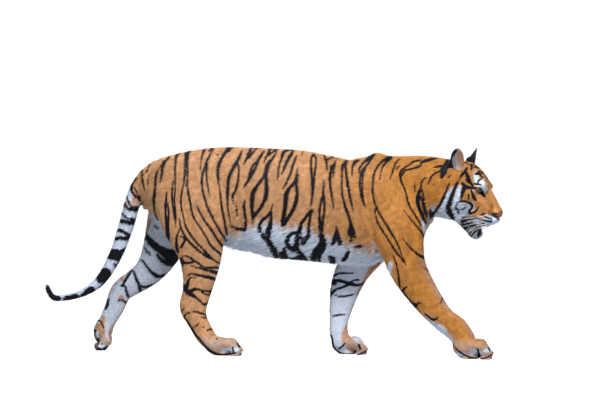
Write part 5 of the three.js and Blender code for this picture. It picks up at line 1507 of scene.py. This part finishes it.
def tapered_tube(bm, points, radii, sides):
    """A tube through the points with a radius at each, closed with a point at its end."""
    points = [Vector(p) for p in points]
    for i, (point, radius) in enumerate(zip(points, radii)):
        ahead = (points[min(i + 1, len(points) - 1)] - points[max(i - 1, 0)]).normalized()
        place = Matrix.Translation(point) @ ahead.to_track_quat("Z", "Y").to_matrix().to_4x4()
        if i == 0:
            ring = bmesh.ops.create_circle(bm, cap_ends=True, segments=sides, radius=radius,
                                           matrix=place)["verts"]
            edges = list({e for v in ring for e in v.link_edges if e.other_vert(v) in ring})
        else:
            made = bmesh.ops.extrude_edge_only(bm, edges=edges)["geom"]
            ring = [g for g in made if isinstance(g, bmesh.types.BMVert)]
            edges = [g for g in made if isinstance(g, bmesh.types.BMEdge)]
            move = place @ Matrix.Scale(radius / radii[i - 1], 4) @ before.inverted()
            bmesh.ops.transform(bm, matrix=move, verts=ring)
        before = place
    bmesh.ops.pointmerge(bm, verts=ring, merge_co=points[-1] + ahead * radii[-1])


# ------------------------------------------------------------------ the coat

# Hair on each length of the body: spacing, length, width and how far the tips stand up,
# in millimetres and shares of the coat's depth.
HAIR = {
    "trunk": (3.7, 17.0, 2.7, 0.62), "head": (3.0, 10.0, 2.3, 0.7), "tail": (3.3, 13.0, 2.5, 0.8),
    "leg": (3.4, 12.0, 2.5, 0.62), "paw": (2.9, 8.0, 2.3, 0.7),
}
# The same of the long locks: ruff, throat, jaw, belly, backs of the legs, tail and ears.
LOCKS = np.array([
    (5.6, 23.0, 3.6, 1.0), (7.0, 32.0, 4.6, 1.0), (5.0, 17.0, 3.0, 1.2), (6.6, 36.0, 4.8, 1.35),
    (6.5, 24.0, 3.8, 1.0), (5.5, 19.0, 3.6, 1.0), (5.0, 14.0, 1.6, 2.0),
])
MOST_TUFTS = 48000


def hair_sizes(f):
    """Spacing, length, width and stand of the tufts at each point."""
    out = np.zeros((len(f["p"]), 4))
    for name, share in f["shares"].items():
        kind = name if name in HAIR else ("paw" if name.endswith("_paw") else "leg")
        out += share[:, None] * np.array(HAIR[kind])
    # Shorter and finer towards the nose.
    face = ramp(-50, 20, f["q"][:, 0]) * f["shares"]["head"]
    out[:, :3] -= face[:, None] * [0.9, 4.5, 0.8]
    out[:, 1] -= 1.6 * ramp(75, 35, norms(f["q"] - NOSE_TIP))
    return out


def long_sizes(f):
    """Spacing, length, width and stand of the long locks at each point, and how many grow there."""
    p, q, n, head, shares = f["p"], f["q"], f["normals"], f["shares"]["head"], f["shares"]
    trunk = shares["trunk"]
    side = ramp(30, 60, np.abs(q[:, 2]))
    ruff = ramp(-45, -95, q[:, 0]) * ramp(60, 20, q[:, 1]) * side
    ruff = ruff * ramp(0.25, 0.6, head)
    throat = ramp(0, -0.5, n[:, 2]) * ramp(430, 560, p[:, 0]) * trunk
    jaw = ramp(-160, -185, q[:, 1]) * ramp(-90, -40, q[:, 0]) * head
    belly = ramp(-0.15, -0.6, n[:, 2]) * ramp(-330, -240, p[:, 0])
    belly = belly * ramp(470, 420, p[:, 0]) * trunk
    leg = sum(shares[name] for name in LEGS)
    rear = ramp(-0.25, -0.75, n[:, 0]) * leg * ramp(180, 260, p[:, 2])
    ear = np.zeros(len(p))
    for number in (0, 1):
        place = ear_places(q, number)
        inside = (norms(place[:, :2] + [0.25, 0]) < 0.5) & (place[:, 2] > 0)
        ear = np.maximum(ear, inside & (norms(place) < 1.25) & (head > 0.2))
    amounts = np.stack([ruff, throat, jaw, belly, rear, shares["tail"] * 0.8, ear], 1)
    total = amounts.sum(1)
    return amounts @ LOCKS / np.maximum(total, 1e-6)[:, None], np.clip(total, 0, 1)


def scatter(rng, kept, chosen, sizes, amount):
    """Roots of tufts on the chosen triangles: triangle, and place in it."""
    corners = kept.triangles[chosen]
    a, b, c = (kept.points[corners[:, i]] for i in range(3))
    area = norms(np.cross(b - a, c - a)) / 2
    spacing = np.maximum(sizes[corners, 0].mean(1), 1.5)
    bald = kept.bald[corners].mean(1) > 0.5
    wanted = np.where(bald, 0, area / spacing**2) * amount[corners].mean(1)
    total = int(min(wanted.sum(), MOST_TUFTS))
    steps = (np.arange(total) + rng.random(total)) / total * wanted.sum()
    which = np.minimum(np.searchsorted(np.cumsum(wanted), steps), len(chosen) - 1)
    u, v = rng.random(total), rng.random(total)
    over = u + v > 1
    u[over], v[over] = 1 - u[over], 1 - v[over]
    return chosen[which], np.stack([1 - u - v, u, v], 1)


def at_roots(values, kept, triangle, share):
    """Values of the skin's vertices read at the roots."""
    corners = values[kept.triangles[triangle]]
    return (corners * (share if corners.ndim == 2 else share[:, :, None])).sum(1)


def moved_chart(kept, triangle, share, move):
    """The chart's places at the roots, carried along the surface by a move."""
    a, b, c = (kept.points[kept.triangles[triangle, i]] for i in range(3))
    ca, cb, cc = (kept.fields["chart"][kept.triangles[triangle, i]] for i in range(3))
    e, g = b - a, c - a
    ee, eg, gg, me, mg = ((r * s).sum(1) for r, s in ((e, e), (e, g), (g, g), (move, e), (move, g)))
    det = np.maximum(ee * gg - eg * eg, 1e-6)
    u, v = (me * gg - mg * eg) / det, (mg * ee - me * eg) / det
    torn = np.maximum(np.abs(cb - ca).max(1), np.abs(cc - ca).max(1)) > 6
    step = u[:, None] * (cb - ca) + v[:, None] * (cc - ca)
    base = at_roots(kept.fields["chart"], kept, triangle, share)
    base[torn] = ca[torn]
    step[torn] = 0
    return base + step


def root_fields(kept, triangle, share, move):
    """The fields that markings() reads, at the roots carried along by a move."""
    f, rooted = kept.fields, (kept, triangle, share)
    roots = at_roots(kept.points, *rooted) + move
    normals = unit(at_roots(kept.normals, *rooted))
    return {
        "chart": moved_chart(*rooted, move),
        "head": at_roots(f["head"], *rooted),
        "q": to_head(roots), "p": roots, "normals": normals,
        "gaze_off": np.abs(normals @ AXES[2]),
        "inner": f["inner"][kept.triangles[triangle, 0]],
        "inward": at_roots(f["inward"], *rooted),
        "shares": {n: at_roots(f["shares"][n], *rooted) for n in ("trunk", "head", "tail")},
    }


HALF_PATCH = 0.0015  # half the width of a tuft's patch on its map


def lock_mesh(name, roots, normals, ways, lengths, widths, rises, rings, droop):
    """Joined closed tufts, each a thin leaf of hair with three sides and a pointed end.

    rings are the shares of the length at which each tuft has a section."""
    count = len(roots)
    sides = unit(np.cross(normals, ways))
    rows, per = [], len(rings) * 3 + 1
    for ring in rings:
        wide = widths * (1 - 0.45 * ring) / 2
        rise = rises * ring * (1 + droop * (1 - ring))
        middle = roots + ways * (lengths * ring)[:, None] + normals * (rise - 0.5)[:, None]
        rows += [middle - sides * wide[:, None], middle + sides * wide[:, None],
                 middle + normals * (0.35 * widths * (1 - 0.4 * ring))[:, None]]
    rows.append(roots + ways * lengths[:, None] + normals * (rises - 0.3)[:, None])
    points = np.stack(rows, 1).reshape(-1, 3)
    faces = [(0, 2, 1)]
    for r in range(len(rings) - 1):
        a, b = r * 3, r * 3 + 3
        for i, j in ((2, 0), (1, 2), (0, 1)):
            faces += [(a + i, a + j, b + j), (a + i, b + j, b + i)]
    last, tip = (len(rings) - 1) * 3, per - 1
    faces += [(last + i, last + j, tip) for i, j in ((2, 0), (1, 2), (0, 1))]
    faces = np.array(faces)
    index = (np.arange(count)[:, None, None] * per + faces[None]).reshape(-1)
    mesh = bpy.data.meshes.new(name)
    mesh.vertices.add(len(points))
    mesh.vertices.foreach_set("co", to_model(points).astype(np.float32).ravel())
    mesh.loops.add(len(index))
    mesh.loops.foreach_set("vertex_index", index.astype(np.int32))
    mesh.polygons.add(len(index) // 3)
    mesh.polygons.foreach_set("loop_start", np.arange(0, len(index), 3, dtype=np.int32))
    mesh.update(calc_edges=True)
    mesh.shade_smooth()
    tilt = np.array([-0.45, 0.45, 0] * len(rings) + [0])[:, None]
    soft = unit(normals[:, None, :] + sides[:, None, :] * tilt - 0.12 * ways[:, None, :])
    mesh.normals_split_custom_set_from_vertices(soft.reshape(-1, 3).tolist())
    return mesh, per


def bake_map(mesh, places, per):
    """UV map OFBake: each tuft a small patch at its root's place on the skin's unwrap."""
    around = np.array([(-1, -1), (1, -1), (0, 1)] * (per // 3) + [(0, 0.3)]) * HALF_PATCH
    places = np.clip(places, HALF_PATCH, 1 - HALF_PATCH)
    spots = (places[:, None, :] + around).reshape(-1, 2)
    loops = values_of(mesh.loops, "vertex_index", 1, np.int32)[:, 0]
    layer = mesh.uv_layers.new(name="OFBake")
    layer.uv.foreach_set("vector", spots[loops].astype(np.float32).ravel())


def unwrapped(kept, chosen):
    """An unwrap of the chosen part of the skin: three places for each triangle."""
    used, index = np.unique(kept.triangles[chosen], return_inverse=True)
    mesh = bpy.data.meshes.new("unwrap")
    mesh.from_pydata(to_model(kept.points[used]).tolist(), [], index.reshape(-1, 3).tolist())
    patch = bpy.data.objects.new("unwrap", mesh)
    bpy.context.scene.collection.objects.link(patch)
    bpy.context.view_layer.objects.active = patch
    patch.select_set(True)
    bpy.ops.object.mode_set(mode="EDIT")
    bpy.ops.mesh.select_all(action="SELECT")
    bpy.ops.uv.smart_project(angle_limit=math.radians(66), island_margin=0.002)
    bpy.ops.object.mode_set(mode="OBJECT")
    out = values_of(mesh.uv_layers.active.uv, "vector", 2).reshape(-1, 3, 2).astype(float)
    bpy.data.objects.remove(patch)
    bpy.data.meshes.remove(mesh)
    return out


def grow(name, kept, chosen, seed, look, sizes, amount, rings):
    """One piece of the coat on the chosen triangles."""
    rng = np.random.default_rng(seed)
    triangle, share = scatter(rng, kept, chosen, sizes, amount)
    rooted, count = (kept, triangle, share), len(triangle)
    normals = unit(at_roots(kept.normals, *rooted))
    ways = at_roots(kept.ways, *rooted)
    ways += rng.normal(0, 0.10 if len(rings) < 2 else 0.17, (count, 3))
    ways = unit(ways - normals * (ways * normals).sum(1, keepdims=True))
    sizes = at_roots(sizes, *rooted)
    lengths = sizes[:, 1] * rng.uniform(0.75, 1.2, count) * look.coat_length
    widths = sizes[:, 2] * rng.uniform(0.75, 1.25, count)
    rises = at_roots(kept.depths, *rooted) * sizes[:, 3] * rng.uniform(0.55, 1.1, count)
    strayed = rng.normal(0, 0.9, (count, 3))
    mesh, per = lock_mesh(name, at_roots(kept.points, *rooted), normals, ways, lengths, widths,
                          rises, rings, 0.5)
    # A tuft takes its colours from two places along it, one for its body and one for its tip.
    base, tip = (markings(root_fields(*rooted, ways * (part * lengths)[:, None] + strayed),
                          chart_tables()) for part in (0.45, 0.85))
    values = {"fleck": np.repeat(np.clip(rng.normal(0, 0.5, count), -1, 1), per)}
    for label, low, high in zip(MARKS, base, tip):
        both = np.repeat(low[:, None], per, 1)
        both[:, -1] = high
        values[label] = both.ravel()
    give_attributes(mesh, values)
    nth = np.zeros(len(kept.triangles), int)
    nth[chosen] = np.arange(len(chosen))
    bake_map(mesh, (unwrapped(kept, chosen)[nth[triangle]] * share[:, :, None]).sum(1), per)
    return mesh


def coat_regions(kept):
    """The triangles of each piece of the coat, by the part of the body they lie on."""
    shares = kept.fields["shares"]
    table = np.stack(list(shares.values()), 1)
    which = np.array(list(shares))[table[kept.triangles].mean(1).argmax(1)]
    x, face = kept.middles[:, 0], to_head(kept.middles)[:, 0] > -25
    trunk, head = which == "trunk", which == "head"
    regions = {
        "coat_face": head & face,
        "coat_head": head & ~face,
        "coat_neck": trunk & (x > 470),
        "coat_chest": trunk & (x > 130) & (x <= 470),
        "coat_abdomen": trunk & (x > -200) & (x <= 130),
        "coat_pelvis": trunk & (x <= -200),
        "coat_tail": which == "tail",
    }
    for leg in LEGS:
        regions["coat_" + leg] = (which == leg) | (which == leg + "_paw")
    return {name: np.nonzero(mask)[0] for name, mask in regions.items()}

# ------------------------------------------------------------------ settings


def colour_setting(name, description, colour):
    """A colour that a user may change, from a screen colour of 0 to 255."""
    return bpy.props.FloatVectorProperty(name=name, description=description, subtype="COLOR",
                                         size=4, min=0.0, max=1.0, default=linear(colour))


def size_setting(name, description, default, least=0.0, **more):
    return bpy.props.FloatProperty(name=name, description=description, default=default, min=least,
                                   **more)


class TIGER_PG_coat(bpy.types.PropertyGroup):
    """Colours and lengths of the coat."""

    back: colour_setting("Back", "Coat of the back, rump and thighs", (202, 151, 108))
    shoulder: colour_setting("Shoulder", "Coat of the neck, shoulders and forelegs", (194, 130, 58))
    pale: colour_setting("Pale", "Belly, inside of the legs, cheeks and chin", (208, 221, 242))
    stripe: colour_setting("Stripe", "Stripes and backs of the ears", (12, 14, 24))
    stripe_edge: size_setting("Stripe edge", "Half width of a stripe's soft edge, in millimetres",
                              1.1, 0.1)
    raggedness: size_setting("Raggedness", "How far hairs carry a stripe's edge, in millimetres",
                             1.4)
    swelling: size_setting("Swelling", "How much wider each side of a stripe is, in millimetres",
                           1.6)
    coat_length: size_setting("Hair length", "Length of the hair as a share of its usual length",
                              1.0, 0.3, max=1.5, subtype="FACTOR")


class TIGER_PG_face(bpy.types.PropertyGroup):
    """Eyes, nose, pads, claws and whiskers."""

    iris_inner: colour_setting("Inner iris", "Colour of the iris next to the pupil", (168, 122, 44))
    iris_outer: colour_setting("Outer iris", "Colour of the iris next to its rim", (120, 92, 36))
    pupil: size_setting("Pupil", "Angle of the pupil's edge from the line of sight, in degrees",
                        12.0, 4.0, max=28.0)
    nose_skin: colour_setting("Nose", "Bare skin of the nose", (150, 92, 84))
    nose_dark: colour_setting("Nose, dark", "Darker patches and rim of the nose", (84, 52, 50))
    pad: colour_setting("Pad", "Bare skin of the paws' pads", (112, 78, 72))
    pad_dark: colour_setting("Pad, dark", "Darker patches of the pads", (52, 38, 38))
    claw_length: size_setting("Claw length", "How far a claw shows", 0.014, 0.004, max=0.04,
                              subtype="DISTANCE", unit="LENGTH")
    whiskers: bpy.props.IntProperty(name="Whiskers", description="Whiskers on each side",
                                    default=13, min=3, max=30)


class TIGER_PG_stage(bpy.types.PropertyGroup):
    """Floor, light and camera."""

    floor: colour_setting("Floor", "Colour of the floor", (203.0, 203.0, 203.0))
    fill: size_setting("Fill light", "Strength of the light from all round", 0.42)
    target: bpy.props.FloatVectorProperty(name="Target", description="What the camera looks at",
                                          subtype="TRANSLATION", unit="LENGTH",
                                          default=(0.15202, 0.00353, 0.708))
    distance: size_setting("Distance", "From the camera to its target", 9.0, 1.0,
                           subtype="DISTANCE", unit="LENGTH")
    lens: size_setting("Lens", "Focal length of the camera, in millimetres", 112.64, 10.0)
    roll: size_setting("Roll", "Turn of the camera about its line of sight", CHART_ROLL, -math.pi,
                       subtype="ANGLE")


# ------------------------------------------------------------------ operators


class TIGER_OT_skin(bpy.types.Operator):
    """Makes the skin, which stands for all the flesh"""

    bl_idname = "tiger.make_skin"
    bl_label = "Skin"

    def execute(self, context):
        mesh = skin_mesh()
        KEPT["skin"] = Skin(mesh)
        give_attributes(mesh, dict(zip(MARKS, KEPT["skin"].marks)))
        mesh.shade_smooth()
        markings_group(context.scene.tiger_coat)
        grain_group()
        material = fur_material("Striped skin", 0.62, 0.05, 0.5, False)
        new_piece("skin", mesh, material, "striped_fur", *FLESH)
        return {"FINISHED"}


def bald_places(kept):
    """Where no hair grows: under the paws, on the nose, in the eyes and nostrils."""
    p, q, n, head = kept.points, kept.fields["q"], kept.normals, kept.fields["head"] > 0.5
    bald = (p[:, 2] < 16) & (n[:, 2] < 0.2)
    bald |= nose_bare(q) > -1.5
    bald |= (nostril_distance(q) < 1.5) & (q[:, 0] > 96) & head
    for side in (-1, 1):
        opening, ahead = eye_opening(q, side)
        near = norms(q - eye_frame(side)[0]) < 34
        bald |= (opening < 1.5) & (ahead > 2) & near
    for name in PAWS:
        bald |= pad_distance(p, name) < 3
    bald |= (line_distance(q[:, :2], MOUTH_LINE) < 3.0) & head
    return bald.astype(float)


def pad_shapes(name):
    """The pads of a paw: middle and half sizes in the paw's own frame."""
    toes = [(toe_points(number, PAWS[name][2])[3], np.array([22, 15.5, 18.5])) for number in TOES]
    return [([-2, 0, 16], np.array([45, 44, 18]))] + toes


def pad_distance(p, name):
    """Distance to a paw's pads, of which only the lower parts are bare."""
    q = to_paw(p, name)
    best = np.full(len(p), FAR)
    near = (norms(q) < 150) & (q[:, 2] < 20)
    for at, half in pad_shapes(name):
        best[near] = np.minimum(best[near], oval_distance(q[near] - at, half) * PAWS[name][3])
    return best


class TIGER_OT_coat(bpy.types.Operator):
    """Grows the coat in tufts over the skin"""

    bl_idname = "tiger.grow_coat"
    bl_label = "Coat"

    def execute(self, context):
        kept = KEPT["skin"]
        look = context.scene.tiger_coat
        material = fur_material("Striped hair", 0.55, 0.08, 0.0, True)
        short = (kept.sizes, np.ones(len(kept.points)), (0.0,))
        long = (kept.long_sizes, kept.long_amount, (0.0, 0.5))
        grows = kept.long_amount[kept.triangles].mean(1) > 0.04
        front = kept.middles[:, 0] > 420
        pieces = [(100 + n, *item, short) for n, item in enumerate(coat_regions(kept).items())]
        pieces += [(200, "locks_front", np.nonzero(grows & front)[0], long),
                   (201, "locks_rear", np.nonzero(grows & ~front)[0], long)]
        for seed, name, chosen, kind in pieces:
            mesh = grow(name, kept, chosen, seed, look, *kind)
            new_piece(name, mesh, material, "striped_fur")
        return {"FINISHED"}


class TIGER_OT_eyes(bpy.types.Operator):
    """Makes the two eyeballs"""

    bl_idname = "tiger.make_eyes"
    bl_label = "Eyes"

    def execute(self, context):
        material = eye_material(context.scene.tiger_face)
        for name, side in (("eye_right", -1), ("eye_left", 1)):
            middle, gaze, inner, up = eye_frame(side)
            bm = bmesh.new()
            bmesh.ops.create_uvsphere(bm, u_segments=56, v_segments=40, radius=1.0)
            mesh = finished_mesh(bm, name)
            ball = mesh_points(mesh)
            angle = np.degrees(np.arccos(np.clip(ball[:, 2], -1, 1)))
            turn = np.arctan2(ball[:, 1], ball[:, 0]) * 2.5
            bulge = 1 + 0.055 * np.clip(1 - (angle / 38) ** 2, 0, 1)
            local = ball * (EYE_RADIUS - 0.2) * bulge[:, None]
            write_points(mesh, from_head(middle + local @ np.array([inner, up, gaze])))
            if np.linalg.det([inner, up, gaze]) > 0:  # the head's own frame is left-handed
                mesh.flip_normals()
            give_attributes(mesh, {"gaze": angle, "turn": turn})
            new_piece(name.replace("eye", "eyeball"), mesh, material, "eye", name)
        return {"FINISHED"}


class TIGER_OT_nose(bpy.types.Operator):
    """Makes the bare skin of the nose"""

    bl_idname = "tiger.make_nose"
    bl_label = "Nose"

    def execute(self, context):
        look = context.scene.tiger_face
        bm = bmesh.new()
        bmesh.ops.create_icosphere(bm, subdivisions=6, radius=1.0)
        mesh = finished_mesh(bm, "nose_leather")
        ways = mesh_points(mesh)
        middle = np.array([102.0, -76, 0])

        def outside(reach):
            return detailed_distance(from_head(middle + ways * reach[:, None])) > -0.2

        # Along each way out from the middle of the nose, the first place at the coat's level.
        steps = np.linspace(2, 64, 63)
        past = np.stack([outside(np.full(len(ways), t)) for t in steps], 1)
        high = steps[np.where(past.any(1), past.argmax(1), len(steps) - 1)]
        low = high - 1.0
        for _ in range(7):
            half = (low + high) / 2
            over = outside(half)
            low, high = np.where(over, low, half), np.where(over, half, high)
        bare = nose_bare(middle + ways * low[:, None])
        sunk = 5.0 * ramp(0.5, -2.5, bare) + 20 * ramp(-4, -16, bare)
        points = middle + ways * np.maximum(low - sunk, 12.0)[:, None]
        write_points(mesh, from_head(points))
        # Painted shade: the nostrils and the leather beside their slits go near black; the darker
        # rim is the nose's own colour.
        nostril_shade_and_rim = np.exp(-((nostril_distance(points) / 1.55) ** 4))
        rim = 0.55 * ramp(4.5, 1.0, bare)
        wing = 0.9 * ramp(130, 120, points[:, 0]) * ramp(22, 30, np.abs(points[:, 2]))
        give_attributes(mesh, {"nostril_shade_and_rim": np.clip(np.maximum.reduce([nostril_shade_and_rim, rim, wing]), 0, 1)})
        material = skin_material("Nose skin", look.nose_skin, look.nose_dark, 0.42, 900.0,
                                 0.0004, 0.25)
        new_piece("nose_leather", mesh, material, "nose_skin")
        return {"FINISHED"}


class TIGER_OT_pads(bpy.types.Operator):
    """Makes the bare pads under the paws"""

    bl_idname = "tiger.make_pads"
    bl_label = "Pads"

    def execute(self, context):
        look = context.scene.tiger_face
        material = skin_material("Pad skin", look.pad, look.pad_dark, 0.6, 500.0, 0.0006)
        for name in PAWS:
            bm = bmesh.new()
            for at, half in pad_shapes(name):
                place = Matrix.Translation(at) @ Matrix.Diagonal((*(half - 0.8), 1))
                bmesh.ops.create_uvsphere(bm, u_segments=28, v_segments=18, radius=1.0,
                                          matrix=place)
            mesh = finished_mesh(bm, "pads_" + name)
            points = from_paw(mesh_points(mesh), name)
            points[:, 2] = np.maximum(points[:, 2], SOLE)
            write_points(mesh, points)
            new_piece("pads_" + name, mesh, material, "paw_pad")
        return {"FINISHED"}


class TIGER_OT_claws(bpy.types.Operator):
    """Makes the claws at the tips of the toes"""

    bl_idname = "tiger.make_claws"
    bl_label = "Claws"

    def execute(self, context):
        length = context.scene.tiger_face.claw_length * 1000
        material = streaked_material("Claw horn", 160, (0.30, 0.22, 0.15, 1),
                                     (0.08, 0.055, 0.04, 1), 0.25, Roughness=0.28, Coat_Weight=0.3)
        s = np.linspace(0, 1, 8)
        for name, (_, dip, spread, size) in PAWS.items():
            bm = bmesh.new()
            for number in TOES:
                x, y, z = toe_points(number, spread)[2]
                x, z = (x - 12, z + 14) if dip > 40 else (x + 8, z + 4)
                arc = np.stack([x + s * (length + 6), y + 0 * s, z + 3 * s - 13 * s * s], 1)
                tapered_tube(bm, to_model(from_paw(arc, name)), 0.0036 * (1 - 0.9 * s) * size, 8)
            mesh = finished_mesh(bm, "claws_" + name)
            new_piece("claws_" + name, mesh, material, "claw")
        return {"FINISHED"}


class TIGER_OT_whiskers(bpy.types.Operator):
    """Makes the whiskers of the muzzle and brows"""

    bl_idname = "tiger.make_whiskers"
    bl_label = "Whiskers"

    def execute(self, context):
        count = context.scene.tiger_face.whiskers
        rng = np.random.default_rng(7)
        material = streaked_material("Whisker", 60, (0.86, 0.85, 0.83, 1), (0.66, 0.64, 0.62, 1),
                                     0.0, Roughness=0.35, Sheen_Weight=0.2)
        s = np.linspace(0, 1, 9)
        for label, side in (("right", -1), ("left", 1)):
            bm = bmesh.new()
            for i in range(count + 3):
                brow = i >= count
                row, along = i % 3, (i // 3) / max(count / 3, 1)
                if brow:
                    start = np.array([-4 + 7 * (i - count), 38 + 2 * (i - count), 38.0])
                    way, length = unit([-0.1, 0.9, 0.5]), 42 + 10 * (i - count)
                else:
                    start = np.array([106, -103 - 9 * row, 30]) + along * np.array([-36, -3, 22])
                    way = unit([-0.6 - 0.3 * along, -0.4 - 0.16 * row, 0.62])
                    length = rng.uniform(80, 125)
                start = surface_at(start, side)
                way = way * [1, 1, side]
                bend = [-0.45, 0.0 if brow else -0.35, -0.25 * side]
                line = start + np.outer(s * length, way) + np.outer(s * s * length * 0.45, bend)
                tapered_tube(bm, to_model(from_head(line)), (0.85 - 0.65 * s) / 1000, 5)
            mesh = finished_mesh(bm, "whiskers_" + label)
            new_piece("whiskers_" + label, mesh, material, "whisker")
        return {"FINISHED"}


def surface_at(place, side):
    """The point of the head's skin nearest to a place of its right or left side, sunk a little."""
    q = np.array([place * [1, 1, side]], float)
    for _ in range(12):
        d = detailed_distance(from_head(q))
        around = detailed_distance(from_head(q) + np.eye(3) * 0.6)
        slope = unit((around - d) @ AXES.T)
        q = q - slope * np.clip(d, -8, 8)[:, None]
    return q[0] - slope * 3.5


class TIGER_OT_stage(bpy.types.Operator):
    """Makes the floor, the lights and the camera"""

    bl_idname = "tiger.make_stage"
    bl_label = "Stage"

    def execute(self, context):
        look = context.scene.tiger_stage
        bm = bmesh.new()
        bmesh.ops.create_grid(bm, x_segments=1, y_segments=1, size=60.0)
        mesh = bpy.data.meshes.new("floor")
        bm.to_mesh(mesh)
        bm.free()
        floor = bpy.data.objects.new("floor", mesh)
        context.scene.collection.objects.link(floor)
        mesh.materials.append(floor_material(look.floor))

        world = bpy.data.worlds.new("Studio")
        world.use_nodes = True
        context.scene.world = world
        tree = world.node_tree
        fill = tree.nodes["Background"]
        fill.inputs["Color"].default_value = (0.74, 0.87, 1.0, 1.0)
        fill.inputs["Strength"].default_value = look.fill
        seen = node(tree, "ShaderNodeBackground", {"Color": (1.0, 1.0, 1.0, 1.0), "Strength": 1.1})
        direct = tree.nodes.new("ShaderNodeLightPath").outputs["Is Camera Ray"]
        both = node(tree, "ShaderNodeMixShader",
                    {0: direct, 1: fill.outputs[0], 2: seen.outputs[0]})
        tree.links.new(both.outputs[0], tree.nodes["World Output"].inputs["Surface"])
        for label, at, size, power, colour in (
            ("key light", (0.4, -3.6, 5.0), 2.4, 390.0, (1.0, 0.965, 0.92)),
            ("top light", (-0.3, -0.2, 4.6), 2.6, 90.0, (1.0, 0.98, 0.95)),
            ("far light", (1.5, 4.5, 3.6), 3.0, 60.0, (0.88, 0.94, 1.0)),
        ):
            light = bpy.data.lights.new(label, "AREA")
            light.shape, light.size, light.energy, light.color = "DISK", size, power, colour
            lamp = bpy.data.objects.new(label, light)
            lamp.location = at
            aim = Vector((0.0, 0.0, 0.55)) - Vector(at)
            lamp.rotation_euler = aim.to_track_quat("-Z", "Y").to_euler()
            context.scene.collection.objects.link(lamp)

        camera = bpy.data.objects.new("camera", bpy.data.cameras.new("camera"))
        camera.data.lens, camera.data.sensor_width = look.lens, 36.0
        camera.location = Vector(look.target) - Vector((0, look.distance, 0))
        level = Vector((0, 1, 0)).to_track_quat("-Z", "Y")
        camera.rotation_mode = "QUATERNION"
        camera.rotation_quaternion = level @ Quaternion((0, 0, 1), look.roll)
        camera.data.clip_end = 200.0
        context.scene.collection.objects.link(camera)
        context.scene.camera = camera
        context.scene.view_settings.view_transform = "Standard"
        return {"FINISHED"}


class TIGER_PT_panel(bpy.types.Panel):
    """The tiger's pieces and settings"""

    bl_idname = "TIGER_PT_panel"
    bl_label = "Tiger"
    bl_space_type = "VIEW_3D"
    bl_region_type = "UI"
    bl_category = "Tiger"

    def draw(self, context):
        scene = context.scene
        for settings in (scene.tiger_coat, scene.tiger_face, scene.tiger_stage):
            box = self.layout.box()
            for name in settings.__annotations__:
                box.prop(settings, name)
        for operator in OPERATORS:
            self.layout.operator(operator.bl_idname)


OPERATORS = (
    TIGER_OT_skin, TIGER_OT_coat, TIGER_OT_eyes, TIGER_OT_nose, TIGER_OT_pads, TIGER_OT_claws,
    TIGER_OT_whiskers, TIGER_OT_stage,
)
SETTINGS = (TIGER_PG_coat, TIGER_PG_face, TIGER_PG_stage)


def register():
    for kind in (*SETTINGS, *OPERATORS, TIGER_PT_panel):
        bpy.utils.register_class(kind)
    for kind in SETTINGS:
        setattr(bpy.types.Scene, kind.__name__.replace("TIGER_PG", "tiger"),
                bpy.props.PointerProperty(type=kind))


def unregister():
    for kind in SETTINGS:
        delattr(bpy.types.Scene, kind.__name__.replace("TIGER_PG", "tiger"))
    for kind in reversed((*SETTINGS, *OPERATORS, TIGER_PT_panel)):
        bpy.utils.unregister_class(kind)


def main():
    register()
    for operator in OPERATORS:
        group, name = operator.bl_idname.split(".")
        getattr(getattr(bpy.ops, group), name)()


if __name__ == "__main__":
    main()
